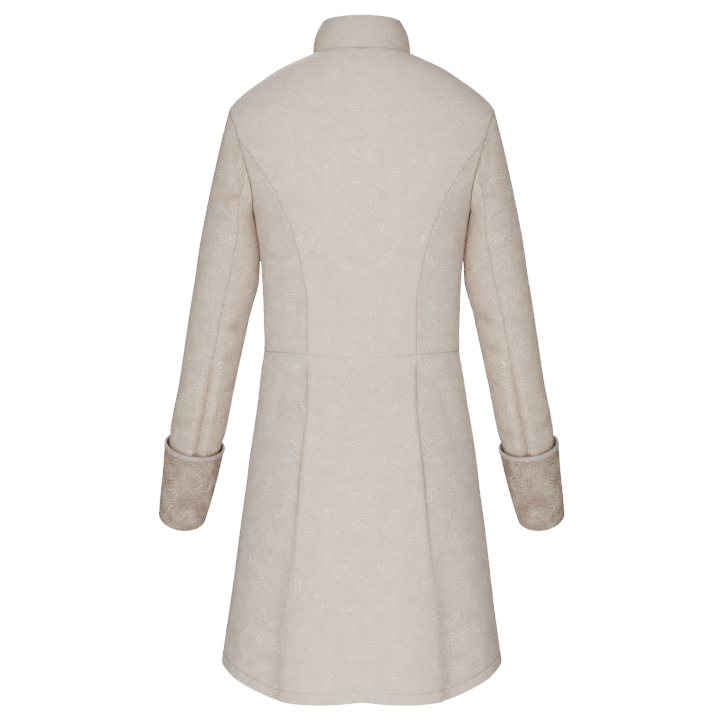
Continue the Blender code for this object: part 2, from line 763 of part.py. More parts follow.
def make_cuff_edges():
    """The soft roll that finishes each cuff's rim, rounded inside and out."""
    foot = CUFF_ROWS[-1] - SEAM_GAP
    bulge = (CUFF_EDGE_THICKNESS - CUFF_WALL) / 2
    rolls = [
        (foot, 0.0),
        (foot - CUFF_EDGE_ROUND, bulge),
        (foot - CUFF_EDGE_DEPTH + CUFF_EDGE_ROUND, bulge),
        (foot - CUFF_EDGE_DEPTH, 0.0),
    ]
    tube = sleeve_tube([down for down, _ in rolls], False)
    outside, inside = [], []
    for (down, swell), line in zip(rolls, tube):
        out, back = cuff_offset(down) + swell, cuff_offset(down) - CUFF_WALL - swell
        outside.append([point + normal * out for point, normal in line])
        inside.append([point + normal * back for point, normal in line])
    loop = outside + inside[::-1]
    for side, flip in (("left", Vector((1, 1, 1))), ("right", Vector((-1, 1, 1)))):
        points = [point * flip for ring in loop for point in ring]
        mesh = bpy.data.meshes.new(f"cuff_edge_{side}")
        mesh.from_pydata(points, [], ring_faces(len(loop), SLEEVE_COLUMNS, closed=True))
        add_object(f"cuff_edge_{side}", mesh, IVORY_LIGHT)


def ring_faces(rings, columns, closed):
    """The faces between neighbouring rings of points, and from the last to the first if closed."""
    faces = []
    for i in range(rings if closed else rings - 1):
        here, there = i * columns, (i + 1) % rings * columns
        for j in range(columns):
            k = (j + 1) % columns
            faces.append((here + j, here + k, there + k, there + j))
    return faces


def make_buttons():
    """Plain domed buttons down the centre front, each on a short shank."""
    turns = [2 * math.pi * i / BUTTON_SEGMENTS for i in range(BUTTON_SEGMENTS)]
    for number, height in enumerate(spread(BUTTON_FIRST, BUTTON_LAST, BUTTON_COUNT - 1), 1):
        axis = body_normal(180.0, height)
        foot = body_point(180.0, height) + axis * BUTTON_STANDOFF
        place = Matrix.Translation(foot) @ axis.to_track_quat("Z", "Y").to_matrix().to_4x4()
        points = []
        for ring in BUTTON_RINGS:
            reach = ring.reach * BUTTON_RADIUS
            points += [place @ Vector((reach * math.cos(t), reach * math.sin(t), ring.rise)) for t in turns]
        faces = ring_faces(len(BUTTON_RINGS), BUTTON_SEGMENTS, closed=False)
        faces.append(tuple(range(BUTTON_SEGMENTS)))
        faces.append(tuple(range(len(points) - BUTTON_SEGMENTS, len(points))))
        mesh = bpy.data.meshes.new(f"button_{number}")
        mesh.from_pydata(points, [], faces)
        add_object(f"button_{number}", mesh, BUTTON_IVORY, roughness=0.4)


def main():
    for old in list(bpy.data.objects):
        bpy.data.objects.remove(old, do_unlink=True)
    make_back_centre()
    make_back_sides()
    make_fronts()
    make_skirt_centre()
    make_skirt_sides()
    make_skirt_fronts()
    make_collar()
    make_sleeves()
    make_cuffs()
    make_cuff_edges()
    make_buttons()


main()
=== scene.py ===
"""Dresses a fitted frock coat: its cloth, seams, soft creases, stitching and buttons, on a plain stage.

Units are metres and +Z is up. The front faces -Y and the wearer's left is +X. Angles round the body start
at the centre back and grow towards the wearer's left. A level is the height of a row of the bodice at the
wearer's side. Turns round a sleeve are 0 behind, 90 outside, 180 before and 270 inside.
"""

import math
from collections import namedtuple
from functools import reduce
from types import SimpleNamespace

import bmesh
import bpy
import numpy as np
from bpy.props import FloatProperty, FloatVectorProperty, IntProperty, PointerProperty
from mathutils import Matrix, Vector


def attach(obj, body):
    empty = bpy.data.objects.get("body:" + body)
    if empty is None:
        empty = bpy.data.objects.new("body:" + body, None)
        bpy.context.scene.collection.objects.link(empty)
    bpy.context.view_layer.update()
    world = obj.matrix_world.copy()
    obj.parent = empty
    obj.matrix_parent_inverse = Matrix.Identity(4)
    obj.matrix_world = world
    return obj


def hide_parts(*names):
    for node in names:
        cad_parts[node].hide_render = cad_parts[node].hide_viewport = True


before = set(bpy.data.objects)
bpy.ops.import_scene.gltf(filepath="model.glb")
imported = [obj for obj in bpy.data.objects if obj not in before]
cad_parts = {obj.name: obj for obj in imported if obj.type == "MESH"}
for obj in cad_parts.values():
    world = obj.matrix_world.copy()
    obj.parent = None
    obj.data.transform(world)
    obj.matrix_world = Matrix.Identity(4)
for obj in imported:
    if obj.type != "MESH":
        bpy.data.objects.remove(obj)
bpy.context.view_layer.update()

bl_info = {
    "name": "Frock Coat",
    "version": (1, 0, 0),
    "blender": (4, 5, 0),
    "location": "3D Viewport > Sidebar > Frock Coat",
    "description": "Makes a fitted jacquard frock coat and the stage it is seen on",
    "category": "Add Mesh",
}


def table(fields, rows):
    """Rows of values whose columns have names."""
    row = namedtuple("Row", fields)
    return [row(*values) for values in rows]


class Curve:
    """A smooth curve through pairs of place and value that never overshoots them."""

    def __init__(self, pairs):
        pairs = sorted(pairs)
        self.places = np.array([place for place, _ in pairs], float)
        self.values = np.array([value for _, value in pairs], float)
        steps = np.diff(self.places)
        rises = np.diff(self.values) / steps
        slopes = [rises[0]]
        for i in range(1, len(rises)):
            before, after = rises[i - 1], rises[i]
            if before * after <= 0:
                slopes.append(0.0)
                continue
            near = 2 * steps[i] + steps[i - 1]
            far = steps[i] + 2 * steps[i - 1]
            slopes.append((near + far) / (near / before + far / after))
        slopes.append(rises[-1])
        self.slopes = np.array(slopes)

    def __call__(self, place):
        place = np.clip(place, self.places[0], self.places[-1])
        i = np.clip(np.searchsorted(self.places, place, side="right") - 1, 0, len(self.places) - 2)
        step = self.places[i + 1] - self.places[i]
        t = (place - self.places[i]) / step
        return (
            self.values[i] * (1 + 2 * t) * (1 - t) ** 2
            + self.slopes[i] * step * t * (1 - t) ** 2
            + self.values[i + 1] * t * t * (3 - 2 * t)
            + self.slopes[i + 1] * step * t * t * (t - 1)
        )


def curves(fields, rows):
    """One curve for each named column of a table, read against its first column."""
    names = fields.split()[1:]
    return SimpleNamespace(
        **{name: Curve([(row[0], row[i]) for row in rows]) for i, name in enumerate(names, 1)}
    )


# Thickness of the cloth, and what one layer stands off the next
WALL = 0.002
COLLAR_WALL = 0.0024
CUFF_WALL = 0.0025
LAP_CLEARANCE = 0.0008

# Heights at the wearer's side, and how far each line dips below them
UNDERARM = -0.235
SHOULDER_TIP = -0.082
BACK_SEAM_TOP = -0.134
WAIST = -0.444
HEM = -0.906
SKIRT_LENGTH = WAIST - HEM
WAIST_DROP_BACK = 0.0106
WAIST_DROP_FRONT = 0.006
NECK_DROP_FRONT = 0.07

# Armhole: its middle's level and half its height, and the angle it reaches behind and before the side line
ARMHOLE_MIDDLE = (UNDERARM + SHOULDER_TIP) / 2
ARMHOLE_HALF = (SHOULDER_TIP - UNDERARM) / 2
ARMHOLE_BACK_ANGLE = 20.5
ARMHOLE_FRONT_ANGLE = 18.0
ARMHOLE_SQUARENESS = 2.4
ARMHOLE_LOW_FULLNESS = 0.3
BACK_SEAM_TIP = 0.0012

# Front edges, skirt pleats and collar
FRONT_LAP = 0.015
LAP_EASE = 0.018
PLEAT_UNDERLAP = 0.014
PLEAT_EASE = 0.03
PLEAT_TOP = 0.008
PLEAT_OPENING = 0.014
PLEAT_LINE_EASE = 0.0012
PLEAT_GROOVE = 0.0032
PLEAT_GROOVE_WIDTH = 0.0075
PLEAT_ROLL = 0.0024
PLEAT_ROLL_WIDTH = 0.0024
PLEAT_ROLL_GROWTH = 0.007
PLEAT_SOFT_FROM = 0.48
PLEAT_SOFT_GROWTH = 0.3
PLEAT_LINE_FADE = 0.8
PLEAT_TUCK = 0.0022
PLEAT_TUCK_WIDTH = 0.004
PLEAT_FOLD_WALL = 0.003
PLEAT_FOLD_WIDTH = 0.008
PLEAT_PUFF = 0.001
PLEAT_PUFF_PLACE = 0.0075
PLEAT_PUFF_WIDTH = 0.006
PLEAT_SHADOW_WIDTH = 0.0026
PLEAT_SOFT_SHADOW = 0.26
PLEAT_SOFT_WIDTH = 0.011
PLEAT_LOW_SHADOW = 0.14
PLEAT_SOFT_SPREAD = 0.008
FOLD_GROWTH = 1.5
COLLAR_HEIGHT = 0.049
COLLAR_END_ANGLE = 179.0
COLLAR_LEAN_BACK = 0.62
COLLAR_LEAN_FRONT = 0.4
COLLAR_CORNER_DROP = 0.22
COLLAR_CORNER_ANGLE = 9.0
COLLAR_FINENESS = 0.8
COLLAR_LINE_SHARE = 0.74
COLLAR_LINE_WIDTH = 0.03
COLLAR_LINE_DEPTH = 0.0004
NECK_RADIUS = 0.07

# Sleeves. A ring has this many columns, and the two seams run down the ones that are named.
SLEEVE_COLUMNS = 22
SLEEVE_COLUMN_WIDTH = 0.0155
SLEEVE_CLEARANCE = 0.0004
SLEEVE_BLEND = 0.11
FRONT_ARM_SEAM = 7
BACK_ARM_SEAM = 16
ARM_VALLEY_WIDTH = 8.0
ARM_VALLEY_TOP = 0.31
ARM_VALLEY_GROWTH = 0.11
ARM_VALLEY_ABOVE = 0.4
ARM_VALLEY_BELOW = 1.3
ARM_LOBES = 0.3
VALLEY_SHADOW = 0.34
VALLEY_SHADOW_WIDTH = 5.0
ARMHOLE_SHADOW = 0.6
ARMHOLE_LINE = 0.0021
ARMHOLE_DARK_FROM = -0.125
ARMHOLE_DARK_GROWTH = 0.05

# Cuffs
CUFF_TUCK = 0.0022
CUFF_TUCK_START = 0.482
CUFF_TUCK_LENGTH = 0.022
CUFF_BOTTOM = 0.625
CUFF_RIM = 0.505
CUFF_TOP = 0.5145
CUFF_CLEAR_BOTTOM = 0.0004
CUFF_CLEAR_RIM = 0.0024
CUFF_EDGE_DEPTH = 0.0078
CUFF_EDGE_THICKNESS = 0.004
CUFF_EDGE_GAP = 0.0003
CUFF_SHADOW_START = 0.0048
CUFF_SHADOW_REACH = 0.0056
CUFF_LINE = 0.0045
CUFF_LINE_WIDTH = 0.0009
CUFF_LINE_DEPTH = 0.0006
CUFF_LINE_SHADOW = 0.2
CUFF_RIM_SHADOW = 0.7
CUFF_SEAM = 11
CUFF_COLUMNS = 88
ROLL_SQUARENESS = 0.5
ROLL_COLUMNS = 110
ROLL_SIDES = 20

# Buttons
BUTTON_COUNT = 7
BUTTON_RADIUS = 0.01
BUTTON_FIRST = -0.092
BUTTON_LAST = -0.41
BUTTON_STANDOFF = 0.0004
# A button's outline from its back's middle to its dome's top: shares of its radius, and heights
BUTTON_PROFILE = (
    (0.0, 0.0), (0.38, 0.0), (0.4, 0.0006), (0.9, 0.0008), (0.97, 0.0012), (1.0, 0.002), (0.985, 0.0027),
    (0.94, 0.0031), (0.9, 0.0032), (0.86, 0.0031), (0.82, 0.0033), (0.7, 0.004), (0.52, 0.0047),
    (0.3, 0.0051), (0.12, 0.0053), (0.0, 0.00535),
)

# Stitches: where the hem's stop short of an edge, in degrees, and how the thread lies on the cloth
STITCH_BEFORE_FOLD = 0.6
STITCH_PAST_FOLD = 0.5
STITCH_FROM_SIDE = 0.4
STITCH_FROM_FRONT = 1.0
STITCH_SINK = 0.0002
STITCH_POINTS = 160
BUTTONHOLE_POINTS = 72
BUTTONHOLE_SHIFT = 0.005
BUTTONHOLE_SQUARENESS = 1.3
BUTTONHOLE_PITCH = 1.15
BUTTONHOLE_STITCH = 0.0017
BEAD_SIDES = 6
BEAD_RINGS = 5
BEAD_FLATNESS = 0.8

# The panels' columns are spaced for these widths
BACK_WIDTH = 0.36
BACK_SIDE_WIDTH = 0.075
FRONT_WIDTH = 0.22
SKIRT_BACK_WIDTH = 0.22
SKIRT_SIDE_WIDTH = 0.13

# Both sides of the coat, as what X is multiplied by and what the pieces are called, and the way up
SIDES = ((1, "left"), (-1, "right"))
UP = np.array([0.0, 0.0, 1.0])

BODY = curves("height half_width back front squareness", (
    (0.01, 0.056, 0.062, 0.066, 2.0),
    (0.0, 0.0735, 0.07, 0.07, 2.0),
    (-0.0075, 0.092, 0.0755, 0.072, 1.92),
    (-0.0225, 0.125, 0.0845, 0.0745, 1.85),
    (-0.0375, 0.1475, 0.091, 0.077, 1.85),
    (-0.0525, 0.169, 0.0962, 0.0795, 1.86),
    (-0.0675, 0.1865, 0.1003, 0.0825, 1.9),
    (-0.082, 0.1985, 0.1035, 0.086, 1.97),
    (-0.1, 0.206, 0.107, 0.0915, 2.08),
    (-0.13, 0.206, 0.1115, 0.101, 2.2),
    (-0.1585, 0.2, 0.1145, 0.108, 2.3),
    (-0.185, 0.19, 0.1158, 0.1135, 2.4),
    (-0.21, 0.1765, 0.116, 0.117, 2.45),
    (-0.235, 0.1625, 0.115, 0.1195, 2.5),
    (-0.27, 0.1562, 0.1115, 0.1205, 2.48),
    (-0.3165, 0.151, 0.1045, 0.119, 2.42),
    (-0.37, 0.148, 0.0965, 0.115, 2.36),
    (-0.41, 0.147, 0.092, 0.111, 2.32),
    (-0.444, 0.1468, 0.0905, 0.109, 2.3),
    (-0.47, 0.1508, 0.0935, 0.1105, 2.28),
    (-0.5175, 0.156, 0.108, 0.116, 2.24),
    (-0.6, 0.168, 0.1275, 0.126, 2.2),
    (-0.7, 0.1822, 0.144, 0.137, 2.18),
    (-0.8, 0.195, 0.158, 0.146, 2.16),
    (-0.906, 0.2095, 0.17, 0.1545, 2.15),
    (-0.945, 0.214, 0.174, 0.157, 2.15),
))

BACK_SEAM_LINE = curves("height across", (
    (-0.134, 0.1815), (-0.15, 0.1685), (-0.17, 0.1545), (-0.19, 0.141), (-0.21, 0.1285),
    (-0.235, 0.1165), (-0.26, 0.106), (-0.285, 0.097), (-0.31, 0.091), (-0.335, 0.086),
    (-0.355, 0.0815), (-0.375, 0.08), (-0.46, 0.08),
))
PLEAT_LINE = curves("height across", (
    (-0.44, 0.08), (-0.49, 0.079), (-0.604, 0.088), (-0.667, 0.093), (-0.731, 0.1), (-0.797, 0.109),
    (-0.838, 0.116), (-0.879, 0.1205), (-0.945, 0.122),
))

HEM_CURVE = curves("angle drop", (
    (0.0, 0.0325), (16.0, 0.0362), (33.0, 0.0364), (39.0, 0.0361), (43.0, 0.0346), (51.0, 0.024),
    (61.0, 0.0124), (72.0, 0.0035), (90.0, 0.0), (180.0, 0.004),
))

SKIRT_FOLDS = table("angle start height width", (
    (0.0, -0.62, -0.002, 11.0),
    (24.0, -0.58, 0.005, 9.0),
    (43.5, -0.66, -0.007, 6.0),
    (62.0, -0.6, 0.0045, 11.0),
    (113.0, -0.58, 0.005, 11.0),
    (130.0, -0.62, -0.005, 8.0),
    (150.0, -0.6, 0.004, 11.0),
))

COLLAR_LINE = curves("share lean", (
    (0.0, 0.0), (0.2, 0.0004), (0.45, 0.0022), (0.7, 0.0062), (0.88, 0.0108), (1.0, 0.0145),
))

SLEEVE = curves("down outer_x outer_z inner_x inner_z back front middle tip twist valley", (
    (0.0, 0.199, -0.0825, 0.1636, -0.2365, 0.06, 0.056, 0.002, 0.0, 0.0, 0.0),
    (0.035, 0.2077, -0.1165, 0.164, -0.242, 0.061, 0.058, 0.001, 0.0, -6.0, 0.0),
    (0.08, 0.2186, -0.161, 0.1622, -0.252, 0.063, 0.06, -0.004, 0.0, -11.0, 0.0002),
    (0.13, 0.2309, -0.213, 0.158, -0.272, 0.064, 0.061, -0.014, 0.0, -13.0, 0.0008),
    (0.18, 0.2417, -0.264, 0.1537, -0.3, 0.063, 0.061, -0.024, 1.0, -7.0, 0.0014),
    (0.235, 0.2505, -0.317, 0.1547, -0.335, 0.061, 0.06, -0.029, 2.0, -2.0, 0.0022),
    (0.29, 0.2593, -0.37, 0.168, -0.387, 0.059, 0.058, -0.03, 4.0, 0.0, 0.003),
    (0.35, 0.2682, -0.429, 0.1809, -0.4455, 0.057, 0.056, -0.03, 7.0, 0.0, 0.0038),
    (0.41, 0.2772, -0.488, 0.1935, -0.504, 0.055, 0.053, -0.032, 12.0, 0.0, 0.0045),
    (0.465, 0.2886, -0.542, 0.2043, -0.558, 0.052, 0.05, -0.038, 16.0, 0.0, 0.0052),
    (0.505, 0.2952, -0.578, 0.2128, -0.59, 0.049, 0.047, -0.045, 19.5, 0.0, 0.0045),
    (0.56, 0.3021, -0.63, 0.2248, -0.64, 0.0445, 0.0435, -0.06, 24.0, 0.0, 0.0),
    (0.6, 0.3085, -0.671, 0.2368, -0.682, 0.0415, 0.041, -0.074, 27.0, 0.0, 0.0),
    (0.64, 0.3135, -0.7065, 0.248, -0.715, 0.0395, 0.0395, -0.091, 30.0, 0.0, 0.0),
))

# The armhole's level at each column of the sleeve's first ring: down the front, and up the back.
ARMHOLE_LEVELS = [
    UNDERARM, -0.2315, -0.224, -0.212, -0.195, -0.175, -0.154, BACK_SEAM_TOP, -0.116, -0.1, -0.088,
    SHOULDER_TIP,
]

# Soft creases, from one place to another. On the body a place is a height, and the wearer's right has
# angles below nought. On a sleeve it is a distance down the arm.
CREASE_FIELDS = "turn place to_turn to_place depth width"
BODY_CREASES = table(CREASE_FIELDS, (
    (46.0, -0.43, 55.0, -0.432, -0.0017, 0.006),
    (-45.0, -0.431, -53.0, -0.429, -0.0016, 0.006),
    (62.0, -0.47, 78.0, -0.479, -0.0032, 0.011),
    (-64.0, -0.471, -76.0, -0.476, -0.0024, 0.01),
    (68.0, -0.421, 86.0, -0.428, -0.0022, 0.01),
    (-70.0, -0.424, -84.0, -0.417, -0.0019, 0.009),
    (-86.0, -0.515, -86.0, -0.61, 0.0036, 0.03),
    (46.0, -0.735, 49.0, -0.93, -0.0034, 0.017),
    (-46.5, -0.725, -48.0, -0.93, -0.0037, 0.016),
    (50.0, -0.165, 44.0, -0.22, 0.0014, 0.01),
    (-52.0, -0.17, -43.0, -0.214, 0.0012, 0.011),
    (62.0, -0.2, 55.0, -0.235, -0.0014, 0.008),
    (-61.0, -0.196, -56.0, -0.228, -0.0013, 0.009),
    (84.0, -0.29, 60.0, -0.335, -0.0012, 0.013),
    (-82.0, -0.3, -64.0, -0.331, -0.001, 0.011),
    (22.0, -0.11, 27.0, -0.235, 0.0012, 0.026),
    (-20.0, -0.12, -28.0, -0.25, 0.0012, 0.024),
    (3.0, -0.14, -2.0, -0.33, -0.001, 0.022),
    (58.0, -0.468, 60.0, -0.56, -0.0014, 0.01),
    (-57.0, -0.466, -62.0, -0.59, -0.0017, 0.011),
    (14.0, -0.47, 10.0, -0.56, -0.0008, 0.014),
    (-12.0, -0.48, -15.0, -0.6, -0.0008, 0.015),
    (84.0, -0.64, 81.0, -0.83, -0.0022, 0.016),
    (-83.0, -0.6, -80.0, -0.8, 0.0024, 0.02),
    (72.0, -0.7, 74.0, -0.88, 0.0016, 0.012),
    (166.0, -0.362, 138.0, -0.338, -0.0011, 0.009),
    (-164.0, -0.305, -142.0, -0.29, -0.0009, 0.01),
    (112.0, -0.205, 131.0, -0.252, -0.0013, 0.01),
    (-113.0, -0.21, -128.0, -0.262, -0.0015, 0.011),
    (150.0, -0.11, 158.0, -0.2, -0.0008, 0.012),
    (-151.0, -0.12, -160.0, -0.19, -0.0008, 0.012),
    (105.0, -0.468, 117.0, -0.482, -0.0018, 0.01),
    (-103.0, -0.47, -119.0, -0.478, -0.0015, 0.01),
    (150.0, -0.462, 146.0, -0.62, -0.0015, 0.012),
    (-149.0, -0.462, -144.0, -0.58, -0.0018, 0.012),
))

# The sleeves' creases: 1 is the wearer's left, -1 the right
SLEEVE_CREASES = {
    1: table(CREASE_FIELDS, (
        (-28.0, 0.063, 14.0, 0.113, -0.0022, 0.0026),
        (-16.0, 0.086, 20.0, 0.128, -0.0014, 0.0026),
        (-2.0, 0.117, 26.0, 0.114, -0.0012, 0.0034),
        (-6.0, 0.126, 18.0, 0.125, -0.0015, 0.003),
        (2.0, 0.14, 30.0, 0.149, -0.001, 0.006),
        (292.0, 0.399, 315.0, 0.402, -0.0017, 0.003),
        (300.0, 0.306, 336.0, 0.318, -0.0016, 0.007),
        (296.0, 0.334, 330.0, 0.329, 0.0012, 0.008),
        (304.0, 0.352, 334.0, 0.36, -0.0013, 0.007),
        (200.0, 0.285, 258.0, 0.3, -0.0022, 0.007),
        (190.0, 0.318, 250.0, 0.322, -0.0018, 0.006),
        (18.0, 0.455, 62.0, 0.468, -0.0012, 0.007),
        (300.0, 0.44, 340.0, 0.452, -0.0011, 0.007),
        (236.0, 0.022, 228.0, 0.192, 0.0084, 0.017),
        (280.0, 0.06, 284.0, 0.175, 0.0034, 0.014),
        (60.0, 0.16, 84.0, 0.23, 0.001, 0.012),
    )),
    -1: table(CREASE_FIELDS, (
        (-24.0, 0.07, 8.0, 0.104, -0.0012, 0.003),
        (296.0, 0.388, 316.0, 0.394, -0.0013, 0.0034),
        (-4.0, 0.133, 24.0, 0.137, -0.0011, 0.005),
        (298.0, 0.292, 332.0, 0.3, -0.0014, 0.008),
        (306.0, 0.338, 338.0, 0.346, -0.0015, 0.007),
        (205.0, 0.276, 262.0, 0.29, -0.002, 0.007),
        (188.0, 0.312, 246.0, 0.318, -0.002, 0.006),
        (22.0, 0.47, 70.0, 0.462, -0.0012, 0.007),
        (302.0, 0.466, 342.0, 0.474, -0.001, 0.006),
        (237.0, 0.02, 227.0, 0.195, 0.0084, 0.017),
        (280.0, 0.058, 283.0, 0.178, 0.0034, 0.014),
        (58.0, 0.15, 80.0, 0.22, 0.0009, 0.012),
    )),
}

# Radius that turns degrees into lengths, how shallow a crease is at its ends, and its shadow
BODY_RADIUS = 0.14
SLEEVE_RADIUS = 0.05
CREASE_THINNEST = 0.45
CREASE_END = 0.08
CREASE_SHADOW = 0.62
CREASE_FULL_DEPTH = 0.002

# The mesh: how close to an edge its first lines lie, and how closely the surface is measured
EDGE_STEPS = (0.0, 0.0005, 0.0011, 0.0022, 0.0044)
HEM_ROWS = (-0.0014, -0.0007, 0.0, 0.0007, 0.0014, 0.0021)
ROW_GAP = 0.0004
ARMHOLE_ROWS = 26
FOLD_ROUNDS = 5
TURN_STEP = 0.8
HEIGHT_STEP = 0.002
BEVEL_ANGLE = 55.0
BEVEL_SEGMENTS = 2

# Cloth that turns in out of sight at a seam, and the sag of the back's neck
ALLOWANCE_STEPS = (0.0009, 0.0024, 0.005)
ALLOWANCE_WALL = 0.0006
ALLOWANCE_TAPER = 0.003
COLLAR_ALLOWANCE = 0.009
COLLAR_TUCK = 0.0006
NECK_SAG_ANGLE = 10.0
NECK_SAG_REACH = 0.012

# How seams pucker and how the turned-up hem stands up
LEVEL_SEAM_SHARE = 0.4
PUFF_PLACE = 0.0062
PUFF_WIDTH = 0.0036
PUCKER_WAVE = 410.0
PUCKER_SWELL = 97.0
PUCKER_SHARE = 0.4
HEM_TURNED_UP = 0.0003
HEM_TURN_STEP = 0.002
HEM_STITCH_DEPTH = 0.0005
HEM_STITCH_WIDTH = 0.0012

# Shadows in seams, at the waist, under the arms and along the hem, as shares of the deepest shade
LEVEL_SHADOW = 0.5
SEAM_SHADOW = 0.66
SHADOW_WIDTH = 0.0009
SOFT_SHADOW = 0.16
SOFT_SHADOW_WIDTH = 0.0045
NECK_SHADOW = 0.5
WAIST_SHADOW_LEAST = 0.1
WAIST_SHADOW_MOST = 0.95
UNDERARM_SHADOW = 0.62
UNDERARM_SHADOW_STARTS = 3
UNDERARM_SHADOW_ENDS = 4
UNDERARM_BODY_ANGLE = 92.0
UNDERARM_BODY_WIDTH = 7.5
UNDERARM_BODY_TOP = -0.165
UNDERARM_BODY_REACH = 0.165
UNDERARM_SLEEVE_TURN = 276.0
UNDERARM_SLEEVE_WIDTH = 34.0
UNDERARM_SLEEVE_TOP = 0.01
UNDERARM_SLEEVE_REACH = 0.19
HEM_SHADOW_LEAST = 0.12
HEM_SHADOW_MOST = 0.62
HEM_LINE_WIDTH = 0.0011
SHADOW_TINT = (0.43, 0.39, 0.35)

# Names of what the cloth's mesh carries for its materials, and the stitches' paths for their nodes
SHADOW_NAME = "seam_shadow"
UV_NAME = "cloth"
NORMAL_NAME = "way_out"

# The figure's leaves, in shares of a leaf
LEAF_SCATTER = 0.8
LEAF_SWING = 4.6
LEAF_BEND = 3.0
LEAF_SLANT = 0.72
LEAF_BASE = 0.42
LEAF_LOBES = 21.0
LEAF_WIDTH = 0.33
LEAF_TAPER = 0.8
LEAF_BLUNTNESS = 0.02
LEAF_CURVE = 0.62
LOBE_DEPTH = 0.05
RIB_SHARE = 0.62
RIM_DARKNESS = 1.5
BETWEEN_LEAVES = 0.7
SMALL_LEAF_SIZE = 0.62
SMALL_LEAF_LINE = 0.86
SMALL_LEAF_SHIFT = (17.3, 5.1, 0.0)
SWING_SWAY = (0.6, 0.75)
RIPPLE_SWAY = (2.4, 0.26)

# Where each soft step of the figure and of the patches starts and ends
CURLED_LEAVES = (0.36, 0.46)
BARB_EDGE = (-0.5, 0.9)
RIB_EDGE = (0.05, 0.015)
LEAF_EDGE = (0.0, 0.06)
FADING_EDGE = (0.32, 0.62)
PATCH_EDGE = (0.4, 0.64)
CLOUD_EDGE = (0.42, 0.6)
BLOTCH_EDGE = (0.36, 0.66)

# Waves to the metre of what varies over the cloth, and how much each counts
FADING_SCALE = 42.0
FADED_SHARE = 0.5
PATCH_SCALE = 22.0
PATCH_SHARE = 0.3
CLOUD_SCALE = 8.0
BLOTCH_SCALE = 34.0
FIGURE_SHARE = 0.85
LEAF_SHARE = 0.04
FIGURE_LEAST = 0.08
RIB_RELIEF = 0.00002
SLUB_STRETCH = (900.0, 260.0, 1.0)
SLUB_RELIEF = 0.00006
SLUB_ROUGHNESS = 0.05
CLOTH_ROUGHNESS = 0.62
FIGURE_GLOSS = 0.14
SHEEN_ROUGHNESS = 0.4
SATIN_SPECULAR = 0.4

# Other finishes: their two colours, the scales of their clouds and grain, and how rough and raised they are
GRAIN_ROUGHNESS = 0.1
EDGE_MOTTLE = 1.45
SATIN_GRAIN = 900.0
SATIN_CLOUD = 210.0
SATIN_CLOUD_EDGE = (0.35, 0.65)
SATIN_ROUGHNESS = 0.5
SATIN_RELIEF = 0.0004
RESIN_DARK = (0.5, 0.43, 0.35)
RESIN_LIGHT = (0.64, 0.58, 0.5)
RESIN_GRAIN = 700.0
RESIN_CLOUD = 130.0
RESIN_CLOUD_EDGE = (0.35, 0.7)
RESIN_ROUGHNESS = 0.26
RESIN_RELIEF = 0.00008
RESIN_RELIEF_SHARE = 0.2
RESIN_COAT = 0.2
THREAD_DARK = (0.36, 0.31, 0.27)
THREAD_LIGHT = (0.48, 0.42, 0.37)
THREAD_TWIST = 1600.0
THREAD_ROUGHNESS = 0.45
THREAD_SHEEN = 0.2
FLOOR_DARK = (0.83, 0.83, 0.82)
FLOOR_LIGHT = (0.87, 0.87, 0.86)
FLOOR_CLOUD = 3.0
FLOOR_ROUGHNESS = 0.8
FLOOR_SIDES = 96

# The jacquard's shades: shares of its colours, its figure's contrast and its relief, and how blotched it is
ClothShade = namedtuple("ClothShade", "name red green blue contrast relief mottle")
RIGHT_SIDE = ClothShade("ivory_jacquard", 1.0, 1.0, 1.0, 1.45, 1.4, 0.12)
BACK_SIDE = ClothShade("side_jacquard", 0.935, 0.965, 0.98, 1.8, 1.8, 0.27)
# The sleeves' shade is darker and browner than the back's: painted shade, for sleeves that turn from the
# light
SLEEVE_PAINTED_SHADE = ClothShade("sleeve_jacquard", 0.955, 0.935, 0.908, 2.1, 2.7, 0.28)
# The collar's shade is darker than the back's: painted shade, standing in for the shade the collar lies in
COLLAR_PAINTED_SHADE = ClothShade("collar_jacquard", 0.8, 0.795, 0.785, 1.3, 1.4, 0.25)
# The cuffs' shade is darker and browner than the coat's: painted shade, for cuffs that tilt away from the
# light
CUFF_PAINTED_SHADE = ClothShade("cuff_jacquard", 0.755, 0.735, 0.7, 3.4, 3.8, 1.0)
# The reverse is darker than the right side, partly as painted shade for the coat's inside, which shows only
# in its gaps
REVERSE = ClothShade("jacquard_reverse", 0.66, 0.63, 0.6, 1.0, 0.5, 0.0)
MOTTLE_TINT = (0.66, 0.62, 0.585)
FIGURE_CONTRAST = 0.15

# The stage: lamps in metres and watts, what they point at, and the backdrop's glow as seen and as light
STUDIO_LIGHTS = table("name x y z power size", (
    ("key", 0.36, 2.8, 0.06, 131.0, 1.1),
    ("fill", -0.7, 3.0, -0.4, 32.0, 1.3),
    ("top", 0.0, 0.5, 1.7, 2.0, 1.4),
    ("front_key", 0.6, -2.7, 1.8, 100.0, 1.4),
    ("front_fill", -1.2, -2.8, 0.3, 34.0, 1.6),
))
LAMP_TARGET = (0.0, 0.0, -0.46)
LAMP_COLOUR = (1.0, 0.945, 0.88)
BACKDROP_GLOW = 20.0
SKY_GLOW = 0.15

# The camera's sensor in millimetres, and how far it sees in metres
SENSOR_WIDTH = 36.0
VIEW_DEPTH = 50.0


def length(name, description, default):
    """A property in metres."""
    return FloatProperty(name=name, description=description, default=default, unit="LENGTH")


def factor(name, description, default):
    """A property that is a share."""
    return FloatProperty(name=name, description=description, default=default, subtype="FACTOR")


def colour(name, description, default):
    """A property that is a colour."""
    return FloatVectorProperty(name=name, description=description, default=default, subtype="COLOR")


